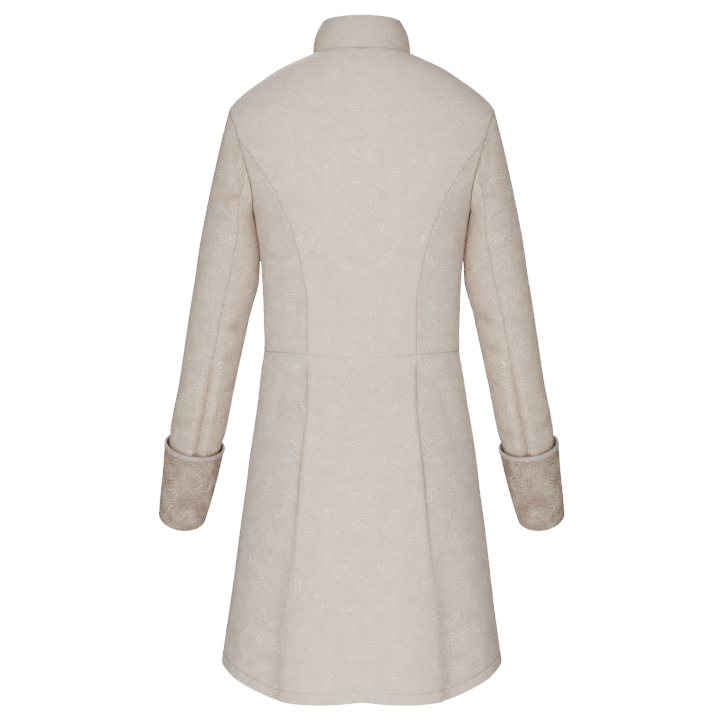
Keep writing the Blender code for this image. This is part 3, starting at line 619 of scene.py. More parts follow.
class CoatShape(bpy.types.PropertyGroup):
    """Sizes of the cloth's mesh, seams and creases"""

    mesh_step: length("Mesh Step", "Size of the cloth mesh's faces", 0.0042)
    crease_strength: factor("Crease Strength", "How deep the soft creases are", 1.0)
    seam_depth: length("Seam Depth", "How far the cloth is drawn in at a seam", 0.0009)
    seam_width: length("Seam Width", "How far from a seam the cloth is drawn in", 0.0011)
    seam_puff: length("Seam Puff", "How far the cloth puckers up beside a seam", 0.00025)
    edge_round: length("Edge Round", "Radius of the cloth's edges", 0.0005)
    neck_sag: length("Neck Sag", "How far the back's neck sags at its middle", 0.0034)
    hem_depth: length("Hem Depth", "Height of the turned-up hem", 0.0165)


class CoatCloth(bpy.types.PropertyGroup):
    """Colours and sizes of the jacquard"""

    ground: colour("Ground", "Colour of the cloth's ground", (0.6, 0.492, 0.402))
    figure: colour("Figure", "Colour of the woven figure", (0.785, 0.674, 0.582))
    rose: colour("Rose Cast", "Tint of the cloth's rosier patches", (0.98, 0.955, 1.0))
    edge: colour("Cuff Edge", "Colour of the cuffs' rolled edge", (0.29, 0.25, 0.237))
    motif: length("Motif", "Size of one large leaf of the figure", 0.032)
    repeat: length("Repeat", "Half the width of the mirrored repeat", 0.15)
    line: length("Line", "Distance between the barbs of a large leaf", 0.004)
    thread: length("Thread", "Distance between the weave's ribs", 0.0011)
    relief: length("Relief", "How far the woven figure stands up", 0.00042)
    sheen: factor("Sheen", "Strength of the satin sheen", 0.05)


class CoatTrim(bpy.types.PropertyGroup):
    """Sizes of the stitches and buttons"""

    stitch_pitch: length("Stitch Pitch", "Distance from stitch to stitch", 0.004)
    stitch_length: length("Stitch Length", "Length of a stitch", 0.0029)
    thread_width: length("Thread Width", "Thickness of the sewing thread", 0.00055)
    buttonhole_length: length("Buttonhole Length", "Length of a buttonhole", 0.025)
    buttonhole_width: length("Buttonhole Width", "Width between a buttonhole's stitched lips", 0.0026)
    button_sides: IntProperty(name="Button Sides", description="Sides of a button's rings", default=48)


class CoatStage(bpy.types.PropertyGroup):
    """Places of the camera and the floor"""

    distance: length("Camera Distance", "From the coat's upright axis", 2.6)
    height: length("Camera Height", "Height of the camera", -0.4575)
    aside: length("Camera Aside", "Camera's place along X", 0.0026)
    lens: FloatProperty(name="Lens", description="Focal length in millimetres", default=86.65)
    floor: length("Floor", "Height of the floor", -1.45)
    floor_radius: length("Floor Radius", "Radius of the floor", 2.05)


def ease(value):
    """Runs from 0 to 1 with soft ends, and stays at them outside."""
    value = np.clip(value, 0.0, 1.0)
    return value * value * (3 - 2 * value)


def bell(gap, width=1.0):
    """1 where the gap is nought, and falls softly to 0 past the width."""
    return np.exp(-((gap / width) ** 2))


def signed_power(value, power):
    """A power of a value's size that keeps the value's sign."""
    return np.sign(value) * np.abs(value) ** power


def deepest(*shadows):
    """The deepest of several shadows at each place."""
    return reduce(np.maximum, shadows)


def mirrored(side):
    """What places and directions are multiplied by on one side of the coat."""
    return np.array([side, 1.0, 1.0])


def even_turns(count, start=0.0, end=2 * math.pi):
    """Places at even steps round a ring, without the last one, which is the first."""
    return np.linspace(start, end, count + 1)[:-1]


def signed_angle(angle):
    """An angle between -180 and 180 degrees."""
    return (angle + 180.0) % 360.0 - 180.0


def unit(vectors):
    """Vectors of the same directions whose length is 1."""
    return vectors / np.maximum(np.linalg.norm(vectors, axis=-1, keepdims=True), 1e-12)


def from_back(angle):
    """How far an angle is from the centre back, on either side."""
    return np.abs(signed_angle(angle))


def backness(angle):
    """1 at the centre back, 0 at the side and -1 at the centre front."""
    return np.cos(np.radians(angle))


def skirt_relief(angle, height):
    """How far the skirt's flares and valleys push its cloth out."""
    relief = 0.0
    for fold in SKIRT_FOLDS:
        growth = np.clip((fold.start - height) / (fold.start - HEM), 0.0, None) ** FOLD_GROWTH
        relief = relief + fold.height * growth * bell(from_back(angle) - fold.angle, fold.width)
    return relief


def body_radius(angle, height):
    """The distance from the upright axis to the outside of the cloth."""
    across, along = np.sin(np.radians(angle)), np.cos(np.radians(angle))
    depth = np.where(along >= 0, BODY.back(height), BODY.front(height))
    power = BODY.squareness(height)
    total = (np.abs(across) / BODY.half_width(height)) ** power + (np.abs(along) / depth) ** power
    return total ** (-1 / power) + skirt_relief(angle, height)


def body_point(angle, height):
    """Points on the outside of the cloth."""
    angle, height = np.broadcast_arrays(np.asarray(angle, float), np.asarray(height, float))
    radius = body_radius(angle, height)
    turn = np.radians(angle)
    return np.stack([radius * np.sin(turn), radius * np.cos(turn), height], axis=-1)


def body_normal(angle, height):
    """The outward direction of the cloth at each point."""
    round_it = body_point(angle + TURN_STEP, height) - body_point(angle - TURN_STEP, height)
    up = body_point(angle, height + HEIGHT_STEP) - body_point(angle, height - HEIGHT_STEP)
    return unit(np.cross(up, round_it))


def angle_of(across, height):
    """The angle at which the back of the body is this far from the middle."""
    power = BODY.squareness(height)
    share = np.minimum(across / BODY.half_width(height), 1.0)
    along = BODY.back(height) * (1 - share**power) ** (1 / power)
    return np.degrees(np.arctan2(across, along))


def arc_angle(length, angle, height):
    """The angle that a length of cloth takes up round the body."""
    return np.degrees(length / body_radius(angle, height))


def waist_height(angle):
    """The height of the waist seam."""
    along = backness(angle)
    return WAIST - np.where(along > 0, WAIST_DROP_BACK, WAIST_DROP_FRONT) * along**2


def hem_height(angle):
    """The height of the hem."""
    return HEM - HEM_CURVE.drop(from_back(angle))


def neck_height(angle):
    """The height of the neckline."""
    return -NECK_DROP_FRONT * np.maximum(-backness(angle), 0.0) ** 3


def bodice_height(angle, level):
    """The height of a bodice row at an angle: it follows the waist seam below and the neckline above."""
    near_waist = ease((UNDERARM - level) / (UNDERARM - WAIST))
    near_neck = np.maximum(1 - level / UNDERARM, 0.0)
    return level + (waist_height(angle) - WAIST) * near_waist + neck_height(angle) * near_neck


def skirt_height(angle, share):
    """The height of a skirt row at an angle, from the waist seam to the hem."""
    top = waist_height(angle)
    return top + (hem_height(angle) - top) * share


def armhole_place(turn):
    """The level and angle of the armhole's edge: a turn from the shoulder down the front and up the back."""
    low = -signed_power(np.cos(turn), 2 / ARMHOLE_SQUARENESS)
    bulge = np.abs(np.sin(turn)) ** (2 / ARMHOLE_SQUARENESS) * (1 + ARMHOLE_LOW_FULLNESS * low)
    level = ARMHOLE_MIDDLE - ARMHOLE_HALF * low
    reach = np.where(np.sin(turn) >= 0, ARMHOLE_FRONT_ANGLE, -ARMHOLE_BACK_ANGLE)
    return level, 90.0 + reach * bulge


def armhole_turn(level):
    """The turn at which the armhole's front reaches a level."""
    low = (ARMHOLE_MIDDLE - level) / ARMHOLE_HALF
    return np.arccos(-signed_power(np.clip(low, -1.0, 1.0), ARMHOLE_SQUARENESS / 2))


def side_angle(level, front):
    """The angle of a bodice panel's outer edge: side seam, armhole or shoulder seam."""
    turn = armhole_turn(level)
    return armhole_place(turn if front else 2 * math.pi - turn)[1]


def back_seam_angle(level):
    """The angle of the curved back seam on a bodice row, up to the armhole."""
    across = BACK_SEAM_LINE.across(level)
    angle = angle_of(across, bodice_height(angle_of(across, level), level))
    edge = side_angle(level, False)
    return np.minimum(angle, edge - arc_angle(BACK_SEAM_TIP, edge, level))


def pleat_angle(share):
    """The angle of the pleat's fold on a skirt row, closing in on it from the centre back."""
    angle = 0.0 * share
    for _ in range(FOLD_ROUNDS):
        height = skirt_height(angle, share)
        angle = angle_of(PLEAT_LINE.across(height), height)
    return angle


def lap_arc(height):
    """The angle between the centre front and the edge of a front."""
    return arc_angle(FRONT_LAP, 180.0, height)


def under_lap(angle, height):
    """How far the right front is let down so that the left one lies on it."""
    start = 180.0 - lap_arc(height)
    away = np.radians(start - angle) * body_radius(start, height)
    return -(WALL + LAP_CLEARANCE) * (1 - ease(away / LAP_EASE))


def bodice_lap(angle, level):
    """How far a place on a row of the right front is let down."""
    return under_lap(angle, bodice_height(180.0, level))


def skirt_lap(angle, share):
    """How far a place on a row of the skirt's right front is let down."""
    return under_lap(angle, skirt_height(180.0, share))


def skirt_lap_arc(share):
    """The angle between the centre front and the edge of a skirt front on a row."""
    return lap_arc(skirt_height(180.0, share))


def pleat_drop(angle, share):
    """How far the side panel of the skirt lies below the pleat's folded edge and just beside it.

    Above the place where the pleat opens, the two are level and only a fine line parts them.
    """
    away = past_pleat(angle, share)
    opened = pleat_opened(share)
    reach = PLEAT_LINE_EASE + (PLEAT_EASE - PLEAT_LINE_EASE) * opened
    groove = PLEAT_GROOVE * opened * (1 - pleat_softness(share)) * bell(away, PLEAT_GROOVE_WIDTH)
    tuck = PLEAT_TUCK * ease(-away / PLEAT_TUCK_WIDTH)
    return -(WALL + LAP_CLEARANCE) * (1 - ease(away / reach)) - groove - tuck


def pleat_opened(share):
    """How far the pleat has opened at a share of the way down the skirt."""
    return ease((share * SKIRT_LENGTH - PLEAT_TOP) / PLEAT_OPENING)


def pleat_softness(share):
    """How far the pleat's sharp fold has turned into a soft valley."""
    return ease((share - PLEAT_SOFT_FROM) / PLEAT_SOFT_GROWTH)


def past_pleat(angle, share):
    """How far a place is past the pleat's fold, away from the centre back."""
    fold = pleat_angle(share)
    return np.radians(np.abs(angle) - fold) * body_radius(fold, skirt_height(fold, share))


def pleat_roll(angle, share):
    """How far the middle panel of the skirt puffs up beside its folded edges and rolls down at them."""
    away, soft = past_pleat(angle, share), pleat_softness(share)
    width = PLEAT_ROLL_WIDTH + PLEAT_ROLL_GROWTH * soft
    puff = PLEAT_PUFF * (1 - soft) * bell(away + PLEAT_PUFF_PLACE, PLEAT_PUFF_WIDTH)
    return pleat_opened(share) * (puff - PLEAT_ROLL * bell(away, width))


def pleat_shadow(angle, share):
    """How deep in the pleat a place of the skirt's side panel lies, from 0 to 1."""
    away, low = np.maximum(past_pleat(angle, share), 0.0), pleat_softness(share)
    line = (1 - PLEAT_LINE_FADE * low) * bell(away, PLEAT_SHADOW_WIDTH)
    width = PLEAT_SOFT_WIDTH + PLEAT_SOFT_SPREAD * low
    soft = (PLEAT_SOFT_SHADOW + PLEAT_LOW_SHADOW * low) * bell(away, width)
    return pleat_opened(share) * deepest(line, soft)


def crease_relief(turn, place, creases, radius):
    """The depth of creases, each a line from place to place, at points of cloth unrolled from a radius."""
    metres = math.radians(1.0) * radius
    relief = 0.0
    for crease in creases:
        across, along = signed_angle(turn - crease.turn) * metres, place - crease.place
        way_across, way_along = (crease.to_turn - crease.turn) * metres, crease.to_place - crease.place
        share = (across * way_across + along * way_along) / (way_across**2 + way_along**2)
        share = np.clip(share, 0.0, 1.0)
        gap = np.hypot(across - share * way_across, along - share * way_along)
        swell = np.sin(math.pi * np.clip(share, CREASE_END, 1 - CREASE_END))
        depth = crease.depth * (CREASE_THINNEST + (1 - CREASE_THINNEST) * swell)
        relief = relief + depth * bell(gap, crease.width)
    return relief * bpy.context.scene.coat_shape.crease_strength


def body_creases(angle, height):
    """The creases at points of the body."""
    return crease_relief(angle, height, BODY_CREASES, BODY_RADIUS)


def sleeve_creases(turn, down, side):
    """The creases at points of a sleeve."""
    return crease_relief(turn, down, SLEEVE_CREASES[side], SLEEVE_RADIUS)


def graded(start, end, scale, step):
    """Places from start to end, close together at both ends. The scale turns metres into places."""
    close = [gap * scale for gap in EDGE_STEPS]
    inner = (end - start) - 2 * close[-1]
    count = max(int(round(inner / (step * scale))), 2)
    middle = [start + close[-1] + inner * i / count for i in range(1, count)]
    return [start + gap for gap in close] + middle + [end - gap for gap in close[::-1]]


def between(shares, start, end):
    """The places at even shares of each row, which run from its start to its end."""
    return start[:, None] + (end - start)[:, None] * np.array(shares)[None, :]


def row_shares(width):
    """Shares of a row at which a panel of this width has its columns."""
    return graded(0.0, 1.0, 1.0 / width, bpy.context.scene.coat_shape.mesh_step)


def grid_normals(points, ring=False):
    """The outward normals of a grid whose rows run upwards."""
    if ring:
        right = np.roll(points, -1, axis=1) - np.roll(points, 1, axis=1)
    else:
        right = np.gradient(points, axis=1)
    return unit(np.cross(np.gradient(points, axis=0), right))


def edge_gap(points, axis, last=False):
    """How far each point is from the first or last row or column, along the cloth."""
    steps = np.linalg.norm(np.diff(points, axis=axis), axis=-1)
    gap = np.insert(np.cumsum(steps, axis=axis), 0, 0.0, axis=axis)
    return np.take(gap, [-1], axis=axis) - gap if last else gap


SEAM_SIDES = {"left": (1, False), "right": (1, True), "low": (0, False), "high": (0, True)}


def seam_shadow(points, seams, level_share=LEVEL_SHADOW):
    """How deep in a seam each point lies, from 0 to 1."""
    shadow = np.zeros(points.shape[:2])
    for seam in seams:
        axis, last = SEAM_SIDES[seam]
        gap = edge_gap(points, axis, last)
        share = SEAM_SHADOW if axis else level_share
        soft = SOFT_SHADOW * share * bell(gap, SOFT_SHADOW_WIDTH)
        shadow = deepest(shadow, share * bell(gap, SHADOW_WIDTH), soft)
    return shadow


def seam_pull(points, seams):
    """How far the cloth is drawn in at the seams, named by side, and puckers up beside them."""
    shape = bpy.context.scene.coat_shape
    pull = np.zeros(points.shape[:2])
    puff = np.zeros(points.shape[:2])
    for seam in seams:
        axis, last = SEAM_SIDES[seam]
        gap, run = edge_gap(points, axis, last), edge_gap(points, 1 - axis)
        depth = shape.seam_depth * (1.0 if axis else LEVEL_SEAM_SHARE)
        pull = np.minimum(pull, -depth * bell(gap, shape.seam_width))
        wave = np.sin(run * PUCKER_WAVE) * np.sin(run * PUCKER_SWELL + 1.0)
        pucker = 1 - PUCKER_SHARE + PUCKER_SHARE * wave
        puff = puff + shape.seam_puff * pucker * bell(gap - PUFF_PLACE, PUFF_WIDTH)
    return pull + puff


def grid_faces(rows, columns, ring=False):
    """The faces of a grid of points, as corner numbers."""
    across = columns if ring else columns - 1
    i, j = np.meshgrid(np.arange(rows - 1), np.arange(across), indexing="ij")
    k = (j + 1) % columns
    corners = [i * columns + j, i * columns + k, (i + 1) * columns + k, (i + 1) * columns + j]
    return np.stack(corners, axis=-1).reshape(-1, 4).tolist()


def cloth_uv(points, grain):
    """Cloth coordinates in metres: along each row from its grain line, and up each column.

    The grain line is a column's number, or how far along each row it lies.
    """
    across = edge_gap(points, 1)
    grain = across[:, grain] if np.isscalar(grain) else grain
    along = unit(np.gradient(points, axis=1))
    steps = np.diff(points, axis=0)
    sideways = unit(along[1:] + along[:-1])
    climb = steps - (steps * sideways).sum(axis=-1, keepdims=True) * sideways
    up = np.insert(np.cumsum(np.linalg.norm(climb, axis=-1), axis=0), 0, 0.0, axis=0)
    return np.stack([across - grain[:, None], up], axis=-1)


def grain_line(points, angle, grain_angle):
    """How far along each row the cloth's grain line lies, at one angle of the body."""
    along = edge_gap(points, 1)
    return np.array([np.interp(grain_angle, *row) for row in zip(angle, along)])


def sheet_sizes(points):
    """A panel's width, length and area as it was cut."""
    width = edge_gap(points, 1)[:, -1].max()
    length = edge_gap(points, 0)[-1].max()
    a, b, c, d = points[:-1, :-1], points[:-1, 1:], points[1:, 1:], points[1:, :-1]
    area = np.linalg.norm(np.cross(c - a, d - b), axis=-1).sum() / 2
    return width, length, area


def link_mesh(name, mesh):
    """An object in the scene with this mesh."""
    made = bpy.data.objects.new(name, mesh)
    bpy.context.scene.collection.objects.link(made)
    return made


def finished(obj):
    """Turns an object's live modifiers into a plain mesh."""
    bpy.context.view_layer.update()
    mesh = bpy.data.meshes.new_from_object(obj.evaluated_get(bpy.context.evaluated_depsgraph_get()))
    obj.modifiers.clear()
    obj.data = mesh
    mesh.name = obj.name
    return obj


def round_edges(obj, width):
    """Bevels a closed shell's edges."""
    bevel = obj.modifiers.new("edges", "BEVEL")
    bevel.width = width
    bevel.segments = BEVEL_SEGMENTS
    bevel.limit_method = "ANGLE"
    bevel.angle_limit = math.radians(BEVEL_ANGLE)
    bevel.miter_outer = "MITER_ARC"
    return finished(obj)


def cloth_shell(name, points, normals, wall, uv, shadow, ring=False):
    """A closed shell of cloth: a right side, a reverse side and the edges between them."""
    rows, columns = points.shape[:2]
    wide = uv.shape[1]
    count = rows * wide
    right_side = grid_faces(rows, wide)
    reverse = [[corner + count for corner in face[::-1]] for face in right_side]
    rims = [(row * wide + j, row * wide + j + 1) for row in (0, rows - 1) for j in range(wide - 1)]
    if not ring:
        rims += [(i * wide + j, (i + 1) * wide + j) for j in (0, wide - 1) for i in range(rows - 1)]
    edges = [[a, b, b + count, a + count] for a, b in rims]
    faces = np.array(right_side + reverse + edges)
    flat = np.concatenate([uv.reshape(-1, 2)] * 2)[faces.ravel()]
    face_side, place = np.divmod(faces, count)
    row, column = np.divmod(place, wide)
    corners = (face_side * rows + row) * columns + column % columns
    places = np.concatenate([points.reshape(-1, 3), (points - normals * wall).reshape(-1, 3)])
    mesh = bpy.data.meshes.new(name)
    mesh.from_pydata(places.tolist(), [], corners.tolist())
    mesh.uv_layers.new(name=UV_NAME).data.foreach_set("uv", flat.astype(np.float32).ravel())
    shades = np.concatenate([shadow.ravel(), np.zeros(shadow.size)]).astype(np.float32)
    mesh.attributes.new(SHADOW_NAME, "FLOAT", "POINT").data.foreach_set("value", shades)
    slots = np.array([0] * len(right_side) + [1] * len(reverse) + [0] * len(edges), np.int32)
    mesh.polygons.foreach_set("material_index", slots)
    tidy_normals(mesh)
    return round_edges(link_mesh(name, mesh), bpy.context.scene.coat_shape.edge_round)


def tidy_normals(mesh):
    """Turns a closed mesh's faces outwards and shades them smooth."""
    shape = bmesh.new()
    shape.from_mesh(mesh)
    bmesh.ops.recalc_face_normals(shape, faces=shape.faces)
    shape.to_mesh(mesh)
    shape.free()
    mesh.shade_smooth()


def dress(obj, nodes, shade):
    """Gives a piece of cloth its materials and puts it in the place of its nodes."""
    obj.data.materials.clear()
    for side in (shade, REVERSE):
        obj.data.materials.append(material(side.name, jacquard, side))
    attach(obj, "root")
    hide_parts(*nodes)


def add_cloth(
    nodes, points, normals, lift, shadow, wall=WALL, grain=0, ring=False, side=1, below=None, above=None,
    shade=BACK_SIDE,
):
    """A piece of cloth in place of its nodes. The lift is what its creases and seams add.

    The rows below and above it are its seam allowance, which turns in out of sight.
    """
    shown = points + normals * lift[..., None]
    turned_in = above if below is None else below
    if turned_in is not None:

        def joined(rows, more):
            return np.concatenate([rows, more] if below is None else [more, rows])

        gap = edge_gap(points, 0, last=below is None)
        thinning = ALLOWANCE_WALL + (wall - ALLOWANCE_WALL) * ease(gap / ALLOWANCE_TAPER)
        size = turned_in.shape[:2]
        wall = joined(thinning, np.full(size, ALLOWANCE_WALL))[..., None]
        shadow = joined(shadow, np.zeros(size) + shadow[-1 if below is None else 0])
        points, shown = joined(points, turned_in), joined(shown, turned_in)
        normals = grid_normals(shown)
    laid_out = np.concatenate([points, points[:, :1]], axis=1) if ring else points
    width, length, area = sheet_sizes(laid_out)
    flip, uv = mirrored(side), cloth_uv(laid_out, grain)
    made = cloth_shell(f"cloth_{nodes[0]}", shown * flip, normals * flip, wall, uv, shadow, ring)
    dress(made, nodes, shade)
    min(area, width * length)


def underarm_shadow(away, down):
    """How deep between sleeve and side a place lies, by its share away from the middle and down the gap."""
    starts, ends = ease(down * UNDERARM_SHADOW_STARTS), ease((1 - down) * UNDERARM_SHADOW_ENDS)
    return UNDERARM_SHADOW * bell(away) * starts * ends


def armhole_shadow(gap, height):
    """The armhole's seam lies in deep shadow below the shoulder."""
    return bell(gap, ARMHOLE_LINE) * ease((ARMHOLE_DARK_FROM - height) / ARMHOLE_DARK_GROWTH)


def waist_shadow(angle):
    """The waist seam shows most at the wearer's sides."""
    return WAIST_SHADOW_LEAST + (WAIST_SHADOW_MOST - WAIST_SHADOW_LEAST) * np.sin(np.radians(angle)) ** 2


def body_panel(node, angle, points, seams, relief, shadow, side, grain, shade, wall=WALL):
    """A panel of the bodice or the skirt, with its creases and seams, and a relief and shadow of its own."""
    height = points[..., 2]
    lift = body_creases(angle * side, height) + seam_pull(points, seams) + relief
    shadow = deepest(seam_shadow(points, seams, waist_shadow(angle)), shadow)
    line = grain_line(points, angle, grain)
    normals = body_normal(angle, height)
    add_cloth([node], points, normals, lift, shadow, wall, line, side=side, shade=shade)


def bodice_panel(
    node, levels, start, end, width, seams, side=1, drop=None, grain=90.0, sag=0.0, shade=BACK_SIDE
):
    """A panel of the bodice between the angles that start and end give for its rows."""
    angle = between(row_shares(width), start, end)
    level = levels[:, None]
    height = bodice_height(angle, level)
    height = height - sag * bell(from_back(angle), NECK_SAG_ANGLE) * ease(level / NECK_SAG_REACH + 1)
    away = (angle - UNDERARM_BODY_ANGLE) / UNDERARM_BODY_WIDTH
    shadow = underarm_shadow(away, (UNDERARM_BODY_TOP - height) / UNDERARM_BODY_REACH)
    relief = drop(angle, level) if drop else 0.0
    body_panel(node, angle, body_point(angle, height), seams, relief, shadow, side, grain, shade)


def level_rows(low, high, extra=()):
    """Levels of a bodice panel's rows, with close ones by the armhole's ends."""
    step = bpy.context.scene.coat_shape.mesh_step
    rows = set(graded(low, high, 1.0, step))
    for turn in np.linspace(0.0, math.pi, ARMHOLE_ROWS):
        rows.add(float(armhole_place(turn)[0]))
    return thinned([row for row in rows | set(extra) if low <= row <= high], ROW_GAP)


def thinned(rows, gap):
    """The rows in order, without those closer together than a gap."""
    rows = sorted(rows)
    kept = [rows[0]]
    for row in rows[1:-1]:
        if row - kept[-1] > gap and rows[-1] - row > gap:
            kept.append(row)
    return np.array(kept + [rows[-1]])


def pleat_wall(angle, share):
    """The middle panel's thickness: its folded edges are doubled cloth that lies on the side panels."""
    away = past_pleat(angle, share)
    sharp = pleat_opened(share) * (1 - pleat_softness(share))
    return WALL + PLEAT_FOLD_WALL * sharp * bell(away, PLEAT_FOLD_WIDTH)


def skirt_panel(
    node, start, end, width, seams, side=1, drop=None, grain=90.0, fold_shadow=None, thickness=None,
    shade=BACK_SIDE,
):
    """A panel of the skirt between the angles that start and end give for its rows."""
    shape = bpy.context.scene.coat_shape
    near_hem = [1 - (shape.hem_depth + gap) / SKIRT_LENGTH for gap in HEM_ROWS]
    rows = graded(0.0, 1.0, 1.0 / SKIRT_LENGTH, shape.mesh_step) + near_hem
    shares = thinned(rows, ROW_GAP / SKIRT_LENGTH)[::-1]
    angle, share = between(row_shares(width), start(shares), end(shares)), shares[:, None]
    points = body_point(angle, skirt_height(angle, share))
    relief = hem_relief(points) + (drop(angle, share) if drop else 0.0)
    shadow = deepest(hem_shadow(points, angle), fold_shadow(angle, share) if fold_shadow else 0.0)
    wall = thickness(angle, share)[..., None] if thickness else WALL
    body_panel(node, angle, points, seams, relief, shadow, side, grain, shade, wall)


def hem_shadow(points, angle):
    """The thin dark lines along the hem's stitching and under its lower edge, clearest at the sides."""
    depth = bpy.context.scene.coat_shape.hem_depth
    gap = edge_gap(points, 0)
    strength = HEM_SHADOW_LEAST + (HEM_SHADOW_MOST - HEM_SHADOW_LEAST) * np.abs(np.sin(np.radians(angle)))
    return strength * deepest(bell(gap - depth, HEM_LINE_WIDTH), bell(gap, HEM_LINE_WIDTH))


def hem_relief(points):
    """The turned-up hem is thicker below its line of stitching, which draws it in."""
    depth = bpy.context.scene.coat_shape.hem_depth
    gap = edge_gap(points, 0)
    turned_up = HEM_TURNED_UP * ease((depth - gap) / HEM_TURN_STEP + 0.5)
    return turned_up - HEM_STITCH_DEPTH * bell(gap - depth, HEM_STITCH_WIDTH)


def sleeve_point(down, turn):
    """Points on the smooth sleeve."""
    outer = np.stack([SLEEVE.outer_x(down), SLEEVE.middle(down), SLEEVE.outer_z(down)], axis=-1)
    inner = np.stack([SLEEVE.inner_x(down), SLEEVE.middle(down), SLEEVE.inner_z(down)], axis=-1)
    across, along = np.sin(np.radians(turn)), np.cos(np.radians(turn))
    reach = np.where(along >= 0, SLEEVE.back(down), SLEEVE.front(down))
    tip = np.radians(SLEEVE.tip(down))
    rear = np.stack([0 * tip, np.cos(tip), -np.sin(tip)], axis=-1)
    return (outer + inner) / 2 + (outer - inner) / 2 * across[..., None] + rear * (reach * along)[..., None]


def column_turn(column, down):
    """Where a column of the sleeve's rings lies at a distance down it, as a turn."""
    return 90.0 + 360.0 * column / SLEEVE_COLUMNS + SLEEVE.twist(down)


def armhole_columns():
    """The armhole's own turn at each column of the sleeve's first ring."""
    front = [float(armhole_turn(level)) for level in ARMHOLE_LEVELS[::-1]]
    back = [2 * math.pi - float(armhole_turn(level)) for level in ARMHOLE_LEVELS[1:]]
    turns = front + back
    wrapped = [turn - 2 * math.pi for turn in turns[:-1]] + turns + [turn + 2 * math.pi for turn in turns[1:]]
    return Curve([(i - SLEEVE_COLUMNS, turn) for i, turn in enumerate(wrapped)])


def armhole_edge(column):
    """The armhole's edge at each column of the sleeve's rings, and its way out."""
    level, angle = armhole_place(armhole_columns()(column))
    height = bodice_height(angle, level)
    return body_point(angle, height), body_normal(angle, height)


def sleeve_grid(down, column):
    """Points of the left sleeve's outside, whose first rows bend into the armhole's edge."""
    ends = sleeve_point(np.zeros(2), np.array([90.0, 270.0]))
    across = ends[0] - ends[1]
    off_body = unit(np.array([across[2], 0.0, -across[0]])) * SLEEVE_CLEARANCE
    first = sleeve_point(np.zeros_like(column), column_turn(column, 0.0))
    rows, columns = np.broadcast_arrays(down[:, None], column[None, :])
    smooth = sleeve_point(rows, column_turn(columns, rows))
    keep = 1 - ease(down / SLEEVE_BLEND)
    return smooth + (armhole_edge(column)[0] + off_body - first)[None] * keep[:, None, None]


def arm_valley(place, column):
    """The valley down the sleeve's back seam: how far it has opened, and how many degrees away it is."""
    opened = ease((place - ARM_VALLEY_TOP) / ARM_VALLEY_GROWTH)
    return opened, (column - BACK_ARM_SEAM) * 360.0 / SLEEVE_COLUMNS


def valley_relief(place, opened, away):
    """The soft valley, with a full lobe on either side of it."""
    depth = SLEEVE.valley(place) * (ARM_VALLEY_ABOVE + ARM_VALLEY_BELOW * opened)
    return depth * (ARM_LOBES * bell(np.abs(away / ARM_VALLEY_WIDTH) - 2.0) - bell(away, ARM_VALLEY_WIDTH))


def sleeve_panel(nodes, first, last, side):
    """One piece of a sleeve, between two columns of its rings."""
    step = bpy.context.scene.coat_shape.mesh_step
    column = np.array(graded(first, last, 1.0 / SLEEVE_COLUMN_WIDTH, step))
    down = np.array(graded(0.0, CUFF_BOTTOM, 1.0, step))[::-1]
    points = sleeve_grid(down, column)
    normals = grid_normals(points)
    place, seams = down[:, None], ("left", "right", "high")
    turn = column_turn(column[None, :], place)
    creases = sleeve_creases(turn, place, side)
    tuck = CUFF_TUCK * ease((place - CUFF_TUCK_START) / CUFF_TUCK_LENGTH)
    opened, away = arm_valley(place, column[None, :])
    lift = valley_relief(place, opened, away) + creases + seam_pull(points, seams) - tuck
    under = (turn % 360.0 - UNDERARM_SLEEVE_TURN) / UNDERARM_SLEEVE_WIDTH
    shadow = deepest(
        seam_shadow(points, seams, ARMHOLE_SHADOW),
        VALLEY_SHADOW * opened * bell(away, VALLEY_SHADOW_WIDTH),
        ease((place - CUFF_TOP + CUFF_EDGE_DEPTH + CUFF_SHADOW_START) / CUFF_SHADOW_REACH),
        armhole_shadow(edge_gap(points, 0, last=True), points[..., 2]),
        CREASE_SHADOW * np.clip(-creases / CREASE_FULL_DEPTH, 0.0, 1.0),
        underarm_shadow(under, (place - UNDERARM_SLEEVE_TOP) / UNDERARM_SLEEVE_REACH),
    )
    seam = points[-1] + normals[-1] * lift[-1][:, None]
    way_in = -armhole_edge(column)[1]
    turned_in = np.stack([seam + way_in * reach for reach in ALLOWANCE_STEPS])
    add_cloth(
        nodes, points, normals, lift, shadow, grain=len(column) // 2, side=side, above=turned_in,
        shade=SLEEVE_PAINTED_SHADE,
    )


def cuff_offset(down):
    """How far the cuff's outside stands off the sleeve's outside."""
    share = (CUFF_BOTTOM - down) / (CUFF_BOTTOM - CUFF_RIM)
    return CUFF_WALL + CUFF_CLEAR_BOTTOM + (CUFF_CLEAR_RIM - CUFF_CLEAR_BOTTOM) * share


